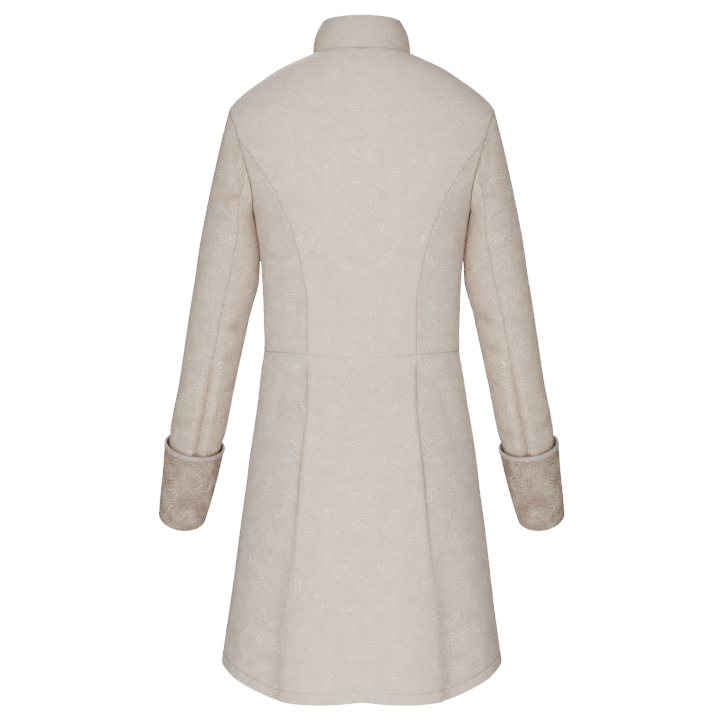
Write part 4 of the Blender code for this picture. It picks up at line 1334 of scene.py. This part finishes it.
class COAT_OT_bodice(bpy.types.Operator):
    """Make the back, the back's side panels and the fronts, above the waist seam"""

    bl_idname = "coat.bodice"
    bl_label = "Bodice"

    def execute(self, context):
        levels = level_rows(WAIST, 0.0, [BACK_SEAM_TOP])
        seam_levels = np.minimum(levels, BACK_SEAM_TOP)
        edge = np.where(levels <= BACK_SEAM_TOP, back_seam_angle(seam_levels), side_angle(levels, False))
        bodice_panel(
            "back_centre", levels, -edge, edge, BACK_WIDTH, ("left", "right", "low", "high"), grain=0.0,
            sag=context.scene.coat_shape.neck_sag, shade=RIGHT_SIDE,
        )
        low = level_rows(WAIST, BACK_SEAM_TOP)
        start, end = back_seam_angle(low), side_angle(low, False)
        for side, name in SIDES:
            seams = ("left", "right", "low")
            bodice_panel(f"back_side_{name}", low, start, end, BACK_SIDE_WIDTH, seams, side, grain=60.0)
        outer, centre = side_angle(levels, True), 180.0 + lap_arc(bodice_height(180.0, levels))
        for (side, name), drop in zip(SIDES, (None, bodice_lap)):
            seams = ("left", "low", "high")
            bodice_panel(f"front_{name}", levels, outer, centre, FRONT_WIDTH, seams, side, drop, grain=180.0)
        return {"FINISHED"}


class COAT_OT_skirt(bpy.types.Operator):
    """Make the skirt's pleated back, its sides and its fronts"""

    bl_idname = "coat.skirt"
    bl_label = "Skirt"

    def execute(self, context):
        skirt_panel(
            "skirt_back_centre", lambda share: -pleat_angle(share), pleat_angle, SKIRT_BACK_WIDTH, ("high",),
            drop=pleat_roll, grain=0.0, thickness=pleat_wall, shade=RIGHT_SIDE,
        )
        for side, name in SIDES:
            skirt_panel(
                f"skirt_side_{name}", self.under_fold, self.at_side, SKIRT_SIDE_WIDTH, ("right", "high"),
                side, pleat_drop, fold_shadow=pleat_shadow,
            )
        for (side, name), drop in zip(SIDES, (None, skirt_lap)):
            skirt_panel(
                f"skirt_front_{name}", self.at_side, self.at_front, FRONT_WIDTH, ("left", "high"), side, drop,
                grain=180.0,
            )
        return {"FINISHED"}

    def under_fold(self, share):
        """The side panel's hidden edge, under the pleat's fold."""
        fold = pleat_angle(share)
        return fold - arc_angle(PLEAT_UNDERLAP, fold, skirt_height(fold, share))

    def at_side(self, share):
        """The side seam."""
        return np.full_like(share, 90.0)

    def at_front(self, share):
        """The edge of a front, past the centre front."""
        return 180.0 + skirt_lap_arc(share)


class COAT_OT_collar(bpy.types.Operator):
    """Make the stand collar"""

    bl_idname = "coat.collar"
    bl_label = "Collar"

    def execute(self, context):
        step = context.scene.coat_shape.mesh_step * COLLAR_FINENESS
        share = np.array(graded(0.0, 1.0, 1.0 / COLLAR_HEIGHT, step))[:, None]
        degrees = 180.0 / (math.pi * NECK_RADIUS)
        angle = np.array(graded(-COLLAR_END_ANGLE, COLLAR_END_ANGLE, degrees, step))[None, :]
        foot = body_point(angle, neck_height(angle))
        along = backness(angle)
        lean_share = np.where(along > 0, COLLAR_LEAN_BACK, COLLAR_LEAN_FRONT)
        lean = COLLAR_LINE.lean(share) * (1 - (1 - lean_share) * along**2)
        end = ease((COLLAR_END_ANGLE - np.abs(angle)) / COLLAR_CORNER_ANGLE)
        rise = COLLAR_HEIGHT * share * (1 - COLLAR_CORNER_DROP * (1 - end) ** 2)
        out = unit(foot * (1 - UP))
        points = foot - out * lean[..., None] + rise[..., None] * UP
        line = COLLAR_LINE_DEPTH * bell(share - COLLAR_LINE_SHARE, COLLAR_LINE_WIDTH)
        inside = foot - body_normal(angle, neck_height(angle)) * (WALL + COLLAR_TUCK)
        turned_in = np.concatenate([inside - UP * COLLAR_ALLOWANCE * part for part in (1.0, 0.5, 0.0)])
        add_cloth(
            ["collar"], points, grid_normals(points), seam_pull(points, ("low",)) - line,
            seam_shadow(points, ("low",), NECK_SHADOW), COLLAR_WALL, angle.size // 2, below=turned_in,
            shade=COLLAR_PAINTED_SHADE,
        )
        return {"FINISHED"}


class COAT_OT_sleeves(bpy.types.Operator):
    """Make the two pieces of each sleeve"""

    bl_idname = "coat.sleeves"
    bl_label = "Sleeves"

    def execute(self, context):
        for side, name in SIDES:
            under = [f"sleeve_under_{name}", f"forearm_under_{name}"]
            sleeve_panel(under, FRONT_ARM_SEAM, BACK_ARM_SEAM, side)
            top = [f"sleeve_top_{name}", f"forearm_top_{name}"]
            sleeve_panel(top, BACK_ARM_SEAM, FRONT_ARM_SEAM + SLEEVE_COLUMNS, side)
        return {"FINISHED"}


class COAT_OT_cuffs(bpy.types.Operator):
    """Make the turned-back cuffs and the rolls along their rims"""

    bl_idname = "coat.cuffs"
    bl_label = "Cuffs"

    def execute(self, context):
        for side, name in SIDES:
            self.add_cuff(f"cuff_{name}", side)
            self.add_roll(f"cuff_edge_{name}", side)
        return {"FINISHED"}

    def add_cuff(self, node, side):
        step = bpy.context.scene.coat_shape.mesh_step
        down = np.array(graded(CUFF_TOP, CUFF_BOTTOM, 1.0, step))[::-1]
        column = even_turns(CUFF_COLUMNS, CUFF_SEAM, CUFF_SEAM + SLEEVE_COLUMNS)
        points = sleeve_grid(down, column)
        normals = grid_normals(points, ring=True)
        points = points + normals * cuff_offset(down)[:, None, None]
        place = down[:, None]
        line = bell(place - CUFF_TOP - CUFF_LINE, CUFF_LINE_WIDTH)
        creases = sleeve_creases(column_turn(column[None, :], place), place, side)
        lift = creases + seam_pull(points, ("high",)) - CUFF_LINE_DEPTH * line
        shadow = deepest(seam_shadow(points, ("high",), CUFF_RIM_SHADOW), CUFF_LINE_SHADOW * line)
        add_cloth(
            [node], points, normals, lift, shadow, CUFF_WALL, len(column) // 2, ring=True, side=side,
            shade=CUFF_PAINTED_SHADE,
        )

    def add_roll(self, node, side):
        """A soft roll whose section is a rounded oblong."""
        column = even_turns(ROLL_COLUMNS, 0.0, SLEEVE_COLUMNS)
        rounds = even_turns(ROLL_SIDES)
        reach = signed_power(np.sin(rounds), ROLL_SQUARENESS) * CUFF_EDGE_DEPTH / 2
        swell = signed_power(np.cos(rounds), ROLL_SQUARENESS) * CUFF_EDGE_THICKNESS / 2
        down = CUFF_TOP - CUFF_EDGE_GAP - CUFF_EDGE_DEPTH / 2 - reach
        order = np.argsort(-down)
        back = np.argsort(order)
        grid = sleeve_grid(down[order], column)
        offset = cuff_offset(down) - CUFF_WALL / 2 + swell
        normals = grid_normals(grid, ring=True)[back]
        points = (grid[back] + normals * offset[:, None, None]) * mirrored(side)
        rows, columns = points.shape[:2]
        faces = [[i % (rows * columns) for i in face] for face in grid_faces(rows + 1, columns, ring=True)]
        mesh = bpy.data.meshes.new(f"cloth_{node}")
        mesh.from_pydata(points.reshape(-1, 3).tolist(), [], faces)
        tidy_normals(mesh)
        made = link_mesh(mesh.name, mesh)
        mesh.materials.append(material("rolled_satin", rolled_satin))
        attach(made, "root")
        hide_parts(node)


class COAT_OT_buttons(bpy.types.Operator):
    """Make the plain domed buttons down the front"""

    bl_idname = "coat.buttons"
    bl_label = "Buttons"

    def execute(self, context):
        turns = even_turns(context.scene.coat_trim.button_sides)
        for number, height in enumerate(np.linspace(BUTTON_FIRST, BUTTON_LAST, BUTTON_COUNT), 1):
            axis = Vector(body_normal(180.0, height))
            foot = Vector(body_point(180.0, height)) + axis * BUTTON_STANDOFF
            mesh = bpy.data.meshes.new(f"domed_button_{number}")
            shape = self.button_shape(turns)
            shape.transform(Matrix.Translation(foot) @ axis.to_track_quat("Z", "Y").to_matrix().to_4x4())
            bmesh.ops.recalc_face_normals(shape, faces=shape.faces)
            shape.to_mesh(mesh)
            shape.free()
            mesh.shade_smooth()
            mesh.materials.append(material("ivory_resin", ivory_resin))
            made = link_mesh(mesh.name, mesh)
            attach(made, "root")
            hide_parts(f"button_{number}")
        return {"FINISHED"}

    def button_shape(self, turns):
        """A button with its back at the origin: its outline turned round, closed at both ends."""
        shape = bmesh.new()
        rings = []
        for share, rise in BUTTON_PROFILE:
            r = share * BUTTON_RADIUS
            corners = [(r * math.cos(turn), r * math.sin(turn), rise) for turn in (turns if r else turns[:1])]
            rings.append([shape.verts.new(corner) for corner in corners])
        for low, high in zip(rings, rings[1:]):
            for i in range(len(turns)):
                k = (i + 1) % len(turns)
                corners = [low[i % len(low)], low[k % len(low)], high[k % len(high)], high[i % len(high)]]
                shape.faces.new(list(dict.fromkeys(corners)))
        return shape


def path_mesh(name, paths, closed):
    """Lines of points on the cloth, each with its way out, for stitches to follow."""
    places, edges, ways = [], [], []
    for points, normals in paths:
        start, count = len(places), len(points)
        places += points.tolist()
        ways += normals.tolist()
        edges += [(start + i, start + (i + 1) % count) for i in range(count if closed else count - 1)]
    mesh = bpy.data.meshes.new(name)
    mesh.from_pydata(places, edges, [])
    way_out = mesh.attributes.new(NORMAL_NAME, "FLOAT_VECTOR", "POINT")
    way_out.data.foreach_set("vector", np.array(ways, np.float32).ravel())
    return link_mesh(name, mesh)


def stitch_tree(crosswise):
    """Geometry nodes that lay a rounded thread at every step of a path, along it or across it."""
    tree = bpy.data.node_groups.new("stitches_across" if crosswise else "stitches", "GeometryNodeTree")
    for name, kind, way in (
        ("Geometry", "NodeSocketGeometry", "INPUT"),
        ("Pitch", "NodeSocketFloat", "INPUT"),
        ("Length", "NodeSocketFloat", "INPUT"),
        ("Width", "NodeSocketFloat", "INPUT"),
        ("Thread", "NodeSocketMaterial", "INPUT"),
        ("Geometry", "NodeSocketGeometry", "OUTPUT"),
    ):
        tree.interface.new_socket(name, in_out=way, socket_type=kind)
    graph = Graph(tree)
    entry = tree.nodes.new("NodeGroupInput")
    pitch, length, width, thread = (Wire(graph, entry.outputs[i]) for i in range(1, 5))
    path = graph.node("GeometryNodeMeshToCurve", inputs={"Mesh": Wire(graph, entry.outputs[0])})
    points = graph.node("GeometryNodeCurveToPoints", {"mode": "LENGTH"}, {"Curve": path, "Length": pitch})
    along = points.output("Tangent")
    kind = {"data_type": "FLOAT_VECTOR"}
    way_out = graph.node("GeometryNodeInputNamedAttribute", kind, {"Name": NORMAL_NAME})
    lie = graph.vector("CROSS_PRODUCT", way_out, along) if crosswise else along
    turned = graph.node("FunctionNodeAlignRotationToVector", {"axis": "Z"}, {"Vector": lie})
    turned = graph.node(
        "FunctionNodeAlignRotationToVector", {"axis": "X", "pivot_axis": "Z"},
        {"Rotation": turned, "Vector": way_out},
    )
    sizes = {"Segments": BEAD_SIDES, "Rings": BEAD_RINGS, "Radius": 0.5}
    bead = graph.node("GeometryNodeMeshUVSphere", inputs=sizes)
    size = graph.node("ShaderNodeCombineXYZ", inputs={"X": width * BEAD_FLATNESS, "Y": width, "Z": length})
    bead = graph.node("GeometryNodeTransform", inputs={"Geometry": bead, "Scale": size})
    places = {"Points": points, "Instance": bead, "Rotation": turned}
    laid = graph.node("GeometryNodeInstanceOnPoints", inputs=places)
    real = graph.node("GeometryNodeRealizeInstances", inputs={"Geometry": laid})
    smooth = graph.node("GeometryNodeSetShadeSmooth", inputs={0: real})
    painted = graph.node("GeometryNodeSetMaterial", inputs={"Geometry": smooth, "Material": thread})
    exit_node = tree.nodes.new("NodeGroupOutput")
    tree.links.new(painted.socket, exit_node.inputs[0])
    return tree


def sew(name, paths, pitch, length, closed=False, crosswise=False):
    """Stitches along paths, as one plain mesh that rides with the coat."""
    made = path_mesh(name, paths, closed)
    tree = stitch_tree(crosswise)
    modifier = made.modifiers.new("stitches", "NODES")
    modifier.node_group = tree
    width = bpy.context.scene.coat_trim.thread_width
    thread = material("sewing_thread", sewing_thread)
    values = {"Pitch": pitch, "Length": length, "Width": width, "Thread": thread}
    for item in tree.interface.items_tree:
        if item.in_out == "INPUT" and item.name in values:
            modifier[item.identifier] = values[item.name]
    finished(made)
    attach(made, "root")


def skirt_line(start, end, gap, side, drop):
    """A path on the skirt a little above the hem, from angle to angle."""
    angle = np.linspace(start, end, STITCH_POINTS)
    height = hem_height(angle) + gap
    share = (waist_height(angle) - height) / (waist_height(angle) - hem_height(angle))
    points, normals = body_point(angle, height), body_normal(angle, height)
    lift = body_creases(angle * side, height) - STITCH_SINK + (drop(angle, share) if drop else 0.0)
    return (points + normals * lift[:, None]) * mirrored(side), normals * mirrored(side)


class COAT_OT_stitching(bpy.types.Operator):
    """Sew the hem and the buttonholes"""

    bl_idname = "coat.stitching"
    bl_label = "Stitching"

    def execute(self, context):
        trim = context.scene.coat_trim
        hem = self.hem_paths(context.scene.coat_shape.hem_depth)
        sew("hem_stitches", hem, trim.stitch_pitch, trim.stitch_length)
        sew(
            "buttonhole_stitches", self.buttonhole_paths(trim), trim.thread_width * BUTTONHOLE_PITCH,
            BUTTONHOLE_STITCH, closed=True, crosswise=True,
        )
        return {"FINISHED"}

    def hem_paths(self, depth):
        """One path on each panel of the skirt."""
        share = 1 - depth / SKIRT_LENGTH
        fold, lap = float(pleat_angle(share)), float(skirt_lap_arc(share))
        inside, past = fold - STITCH_BEFORE_FOLD, fold + STITCH_PAST_FOLD
        before, after = 90.0 - STITCH_FROM_SIDE, 90.0 + STITCH_FROM_SIDE
        front = 180.0 - STITCH_FROM_FRONT
        return [
            skirt_line(-inside, inside, depth, 1, pleat_roll),
            skirt_line(past, before, depth, 1, pleat_drop),
            skirt_line(past, before, depth, -1, pleat_drop),
            skirt_line(after, front + lap, depth, 1, None),
            skirt_line(after, front - lap, depth, -1, skirt_lap),
        ]

    def buttonhole_paths(self, trim):
        """One ring for each buttonhole, flattened to two straight lips."""
        holes = []
        turn = even_turns(BUTTONHOLE_POINTS)
        wide = np.clip(np.cos(turn) * BUTTONHOLE_SQUARENESS, -1.0, 1.0) * trim.buttonhole_length / 2
        for button in np.linspace(BUTTON_FIRST, BUTTON_LAST, BUTTON_COUNT):
            angle = 180.0 - arc_angle(wide + BUTTONHOLE_SHIFT, 180.0, button)
            height = button + np.sin(turn) * trim.buttonhole_width / 2
            points, normals = body_point(angle, height), body_normal(angle, height)
            lift = body_creases(angle, height) + STITCH_SINK
            holes.append((points + normals * lift[:, None], normals))
        return holes


class Wire:
    """An output of a node. Sums on it add nodes that work them out."""

    def __init__(self, graph, socket):
        self.graph = graph
        self.socket = socket

    def maths(self, operation, *values):
        """This output and more values, worked out by a Math node."""
        return self.graph.maths(operation, self, *values)

    def __add__(self, other):
        return self.maths("ADD", other)

    def __sub__(self, other):
        return self.maths("SUBTRACT", other)

    def __rsub__(self, other):
        return self.graph.maths("SUBTRACT", other, self)

    def __mul__(self, other):
        return self.maths("MULTIPLY", other)

    def __truediv__(self, other):
        return self.maths("DIVIDE", other)

    def __rtruediv__(self, other):
        return self.graph.maths("DIVIDE", other, self)

    __radd__ = __add__
    __rmul__ = __mul__

    def output(self, name):
        """Another output of the same node."""
        return Wire(self.graph, self.socket.node.outputs[name])

    def split(self):
        """The three parts of a vector."""
        parts = self.graph.node("ShaderNodeSeparateXYZ", inputs={0: self})
        return [parts.output(name) for name in "XYZ"]

    def step(self, low, high):
        """Runs softly from 0 at low to 1 at high."""
        inputs = {0: self, 1: low, 2: high, 3: 0.0, 4: 1.0}
        return self.graph.node("ShaderNodeMapRange", {"interpolation_type": "SMOOTHSTEP"}, inputs)


class Graph:
    """A node tree that is being written."""

    def __init__(self, tree):
        self.tree = tree

    def node(self, kind, settings=None, inputs=None, output=0):
        """A new node with its settings and its sockets' values or links."""
        made = self.tree.nodes.new(kind)
        for name, value in (settings or {}).items():
            setattr(made, name, value)
        self.fill(made, inputs or {})
        return Wire(self, made.outputs[output])

    def fill(self, node, inputs):
        """Links or sets a node's sockets."""
        for name, value in inputs.items():
            if isinstance(value, Wire):
                self.tree.links.new(value.socket, node.inputs[name])
            else:
                node.inputs[name].default_value = value

    def surface(self, **inputs):
        """Links or sets the surface shader's sockets, named with underscores for spaces."""
        shader = self.tree.nodes["Principled BSDF"]
        self.fill(shader, {name.replace("_", " "): value for name, value in inputs.items()})

    def maths(self, operation, *values):
        return self.node("ShaderNodeMath", {"operation": operation}, dict(enumerate(values)))

    def vector(self, operation, first, second):
        return self.node("ShaderNodeVectorMath", {"operation": operation}, {0: first, 1: second})

    def scaled(self, vector, factor):
        return self.node("ShaderNodeVectorMath", {"operation": "SCALE"}, {0: vector, "Scale": factor})

    def mix(self, share, first, second):
        """Mixes two colours."""
        first, second = (c if isinstance(c, Wire) else (*c, 1.0) for c in (first, second))
        return self.node("ShaderNodeMix", {"data_type": "RGBA"}, {0: share, 6: first, 7: second}, output=2)

    def tinted(self, share, colour, tint):
        """A colour that turns to a tint of itself by a share."""
        return self.mix(share, colour, self.vector("MULTIPLY", colour, tint))

    def place(self):
        """Object coordinates, in metres."""
        return self.node("ShaderNodeTexCoord", output=3)

    def noise(self, place, scale, detail=1.0, output=0):
        inputs = {"Vector": place, "Scale": scale, "Detail": detail}
        return self.node("ShaderNodeTexNoise", None, inputs, output)

    def bump(self, height, strength=1.0):
        """A relief whose height is in metres."""
        return self.node("ShaderNodeBump", None, {"Strength": strength, "Distance": 1.0, "Height": height})


def material(name, paint, *values):
    """The material of this name. The first call for it makes it, and lets paint set up its surface."""
    made = bpy.data.materials.get(name)
    if made is None:
        made = bpy.data.materials.new(name)
        made.use_nodes = True
        paint(Graph(made.node_tree), *values)
    return made


def leaf_layer(graph, place, size, line, shift):
    """Leaves that fill the cloth, each bent and turned its own way: their strokes, and their outlines."""
    spot = graph.vector("ADD", graph.scaled(place, 1.0 / size), shift)
    settings = {"voronoi_dimensions": "2D"}
    inputs = {"Vector": spot, "Scale": 1.0, "Randomness": LEAF_SCATTER}
    cells = graph.node("ShaderNodeTexVoronoi", settings, inputs)
    centre = cells.output("Position")
    chance, second, third = cells.output("Color").split()
    x, y, _ = graph.vector("SUBTRACT", spot, centre).split()
    turn = (chance - 0.5) * LEAF_SWING + math.pi / 2
    across, along = turn.maths("COSINE"), turn.maths("SINE")
    down_rib = x * across + y * along
    off_rib = y * across - x * along - (second - 0.5) * LEAF_BEND * down_rib * down_rib
    side = off_rib.maths("ABSOLUTE")
    slant = (side + LEAF_BLUNTNESS).maths("POWER", LEAF_CURVE) * LEAF_SLANT
    from_base = down_rib + LEAF_BASE
    arcs = (from_base * from_base + off_rib * off_rib).maths("SQRT")
    curled = third.step(*CURLED_LEAVES)
    strokes = (down_rib - slant) * (1 - curled) + arcs * curled
    barbs = ((strokes + second) * (2 * math.pi * size / line)).maths("SINE").step(*BARB_EDGE)
    rib = side.step(*RIB_EDGE) * (1 - curled)
    lobes = (down_rib * LEAF_LOBES).maths("SINE") * LOBE_DEPTH
    outline = lobes - side - down_rib * down_rib * LEAF_TAPER + LEAF_WIDTH
    return barbs * (1 - rib) + rib * RIB_SHARE, outline.step(*LEAF_EDGE)


def leaf_figure(graph, cloth):
    """The woven figure: large leaves over small ones, mirrored from repeat to repeat."""
    across, up, _ = graph.node("ShaderNodeUVMap", {"uv_map": UV_NAME}).split()
    flat = graph.node("ShaderNodeCombineXYZ", inputs={0: across, 1: up})
    mirrored_across = across.maths("PINGPONG", cloth.repeat)
    swung = graph.node("ShaderNodeCombineXYZ", inputs={0: mirrored_across, 1: up})
    swung = graph.vector("ADD", swung, swayed(graph, swung, *SWING_SWAY))
    ripple = swayed(graph, flat, *RIPPLE_SWAY)
    place, loose = (
        graph.vector("MULTIPLY", graph.vector("ADD", way, ripple), (1.0, 1.0, 0.0)) for way in (swung, flat)
    )
    large, leaf = leaf_layer(graph, place, cloth.motif, cloth.line, (0.0, 0.0, 0.0))
    size, line = cloth.motif * SMALL_LEAF_SIZE, cloth.line * SMALL_LEAF_LINE
    small, small_leaf = leaf_layer(graph, loose, size, line, SMALL_LEAF_SHIFT)
    rim = leaf * (1 - leaf) * RIM_DARKNESS
    filling = small * (small_leaf * (1 - BETWEEN_LEAVES) + BETWEEN_LEAVES)
    faded = graph.noise(flat, FADING_SCALE, detail=2.0).step(*FADING_EDGE)
    strength = faded * (1 - FADED_SHARE) + FADED_SHARE
    return (large * leaf + filling * (1 - leaf) - rim) * strength, leaf, flat, across, up


def swayed(graph, place, scale, reach):
    """A smooth wandering offset, whose scale and reach are shares of a leaf."""
    motif = bpy.context.scene.coat_cloth.motif
    sway = graph.vector("SUBTRACT", graph.noise(place, scale / motif, output=1), (0.5, 0.5, 0.5))
    return graph.scaled(sway, motif * reach)


def jacquard(graph, shade):
    """Satin cloth with a self-coloured figure, in one of its shades, some of which are darkened with painted
    shade.
    """
    cloth = bpy.context.scene.coat_cloth
    tint = np.array([shade.red, shade.green, shade.blue])
    ground, light = np.array(cloth.ground) * tint, np.array(cloth.figure) * tint
    extra = (ground + light) / 2 * FIGURE_CONTRAST * (shade.contrast - 1)
    ground, light = ground - extra, light + extra
    cast = [part / max(cloth.rose) for part in cloth.rose]
    figure, leaf, place, across, up = leaf_figure(graph, cloth)
    patches = graph.noise(place, PATCH_SCALE, detail=2.0).step(*PATCH_EDGE)
    clouds = graph.noise(place, CLOUD_SCALE).step(*CLOUD_EDGE)
    blotches = graph.noise(place, BLOTCH_SCALE, detail=3.0).step(*BLOTCH_EDGE)
    base = graph.mix(figure * FIGURE_SHARE + leaf * LEAF_SHARE + FIGURE_LEAST, ground, light)
    base = graph.tinted(blotches * shade.mottle, base, MOTTLE_TINT)
    base = graph.tinted(patches * PATCH_SHARE + clouds * (1 - PATCH_SHARE), base, cast)
    shadow = graph.node("ShaderNodeAttribute", {"attribute_name": SHADOW_NAME}, output=2)
    base = graph.tinted(shadow, base, SHADOW_TINT)
    ribs = ((across + up) * (2 * math.pi / cloth.thread)).maths("SINE")
    slubs = graph.noise(graph.vector("MULTIPLY", place, SLUB_STRETCH), 1.0)
    relief = figure * (cloth.relief * shade.relief) + ribs * RIB_RELIEF + slubs * SLUB_RELIEF
    graph.surface(
        Base_Color=base, Roughness=CLOTH_ROUGHNESS - figure * FIGURE_GLOSS + slubs * SLUB_ROUGHNESS,
        Normal=graph.bump(relief), Sheen_Weight=cloth.sheen, Sheen_Roughness=SHEEN_ROUGHNESS,
        Sheen_Tint=(*light, 1.0), Specular_IOR_Level=SATIN_SPECULAR,
    )


def rolled_satin(graph):
    """Plain satin with a faint rib, for the cuffs' rolled edge."""
    cloth = bpy.context.scene.coat_cloth
    place = graph.place()
    grain = graph.noise(place, SATIN_GRAIN)
    cloud = graph.noise(place, SATIN_CLOUD, detail=2.0).step(*SATIN_CLOUD_EDGE)
    base = graph.mix(cloud, cloth.edge, [part * EDGE_MOTTLE for part in cloth.edge])
    graph.surface(
        Base_Color=base, Roughness=SATIN_ROUGHNESS + grain * GRAIN_ROUGHNESS,
        Normal=graph.bump(grain * SATIN_RELIEF), Sheen_Weight=cloth.sheen, Sheen_Roughness=SHEEN_ROUGHNESS,
        Specular_IOR_Level=SATIN_SPECULAR,
    )


def ivory_resin(graph):
    """Ivory-coloured resin with a soft cloud in it."""
    place = graph.place()
    cloud = graph.noise(place, RESIN_CLOUD, detail=3.0).step(*RESIN_CLOUD_EDGE)
    grain = graph.noise(place, RESIN_GRAIN, detail=2.0)
    graph.surface(
        Base_Color=graph.mix(cloud, RESIN_DARK, RESIN_LIGHT),
        Roughness=RESIN_ROUGHNESS + grain * GRAIN_ROUGHNESS,
        Normal=graph.bump(grain * RESIN_RELIEF, RESIN_RELIEF_SHARE), Coat_Weight=RESIN_COAT,
    )


def sewing_thread(graph):
    """Sewing thread, a little darker than the cloth."""
    twist = graph.noise(graph.place(), THREAD_TWIST)
    graph.surface(
        Base_Color=graph.mix(twist, THREAD_DARK, THREAD_LIGHT),
        Roughness=THREAD_ROUGHNESS + twist * GRAIN_ROUGHNESS, Sheen_Weight=THREAD_SHEEN,
    )


def pale_floor(graph):
    """A plain pale floor with hardly any cloud in it."""
    cloud = graph.noise(graph.place(), FLOOR_CLOUD, detail=2.0)
    graph.surface(Base_Color=graph.mix(cloud, FLOOR_DARK, FLOOR_LIGHT), Roughness=FLOOR_ROUGHNESS)


class COAT_OT_stage(bpy.types.Operator):
    """Set the floor, the lights and the camera"""

    bl_idname = "coat.stage"
    bl_label = "Stage"

    def execute(self, context):
        stage = context.scene.coat_stage
        self.add_floor(stage)
        self.add_world(context.scene)
        for light in STUDIO_LIGHTS:
            self.add_light(light)
        camera = bpy.data.cameras.new("camera")
        camera.lens = stage.lens
        camera.sensor_width = SENSOR_WIDTH
        camera.clip_end = VIEW_DEPTH
        eye = bpy.data.objects.new("camera", camera)
        eye.location = (stage.aside, stage.distance, stage.height)
        eye.rotation_euler = (math.radians(90.0), 0.0, math.radians(180.0))
        context.scene.collection.objects.link(eye)
        context.scene.camera = eye
        return {"FINISHED"}

    def add_floor(self, stage):
        """A round floor, closed by one face."""
        shape = bmesh.new()
        bmesh.ops.create_circle(shape, cap_ends=True, segments=FLOOR_SIDES, radius=stage.floor_radius)
        bmesh.ops.translate(shape, verts=shape.verts, vec=(0.0, 0.0, stage.floor))
        mesh = bpy.data.meshes.new("floor")
        shape.to_mesh(mesh)
        shape.free()
        mesh.materials.append(material("pale_floor", pale_floor))
        link_mesh("floor", mesh)

    def add_world(self, scene):
        """A white backdrop that lights the coat less than it shows."""
        world = bpy.data.worlds.new("studio")
        world.use_nodes = True
        scene.world = world
        graph = Graph(world.node_tree)
        strength = graph.node("ShaderNodeLightPath", output=0) * (BACKDROP_GLOW - SKY_GLOW) + SKY_GLOW
        sky = world.node_tree.nodes["Background"]
        sky.inputs["Color"].default_value = (1.0, 1.0, 1.0, 1.0)
        world.node_tree.links.new(strength.socket, sky.inputs["Strength"])

    def add_light(self, row):
        """A round lamp that points at the coat's middle."""
        light = bpy.data.lights.new(row.name, "AREA")
        light.shape = "DISK"
        light.size = row.size
        light.energy = row.power
        light.color = LAMP_COLOUR
        made = bpy.data.objects.new(row.name, light)
        place = Vector((row.x, row.y, row.z))
        made.location = place
        made.rotation_euler = (Vector(LAMP_TARGET) - place).to_track_quat("-Z", "Y").to_euler()
        bpy.context.scene.collection.objects.link(made)


class COAT_PT_panel(bpy.types.Panel):
    """Lists the coat's sizes, colours and pieces"""

    bl_label = "Frock Coat"
    bl_idname = "COAT_PT_panel"
    bl_space_type = "VIEW_3D"
    bl_region_type = "UI"
    bl_category = "Frock Coat"

    def draw(self, context):
        for group_name in GROUPS:
            box, group = self.layout.box(), getattr(context.scene, group_name)
            for name in group.__annotations__:
                box.prop(group, name)
        for operator in OPERATORS:
            self.layout.operator(operator.bl_idname)


GROUPS = {"coat_shape": CoatShape, "coat_cloth": CoatCloth, "coat_trim": CoatTrim, "coat_stage": CoatStage}
OPERATORS = (
    COAT_OT_bodice,
    COAT_OT_skirt,
    COAT_OT_collar,
    COAT_OT_sleeves,
    COAT_OT_cuffs,
    COAT_OT_buttons,
    COAT_OT_stitching,
    COAT_OT_stage,
)


def register():
    for group in GROUPS.values():
        bpy.utils.register_class(group)
    for name, group in GROUPS.items():
        setattr(bpy.types.Scene, name, PointerProperty(type=group))
    for operator in OPERATORS:
        bpy.utils.register_class(operator)
    bpy.utils.register_class(COAT_PT_panel)


def unregister():
    bpy.utils.unregister_class(COAT_PT_panel)
    for operator in reversed(OPERATORS):
        bpy.utils.unregister_class(operator)
    for name, group in GROUPS.items():
        delattr(bpy.types.Scene, name)
        bpy.utils.unregister_class(group)


def main():
    register()
    for operator in OPERATORS:
        group, name = operator.bl_idname.split(".")
        getattr(getattr(bpy.ops, group), name)()


if __name__ == "__main__":
    main()
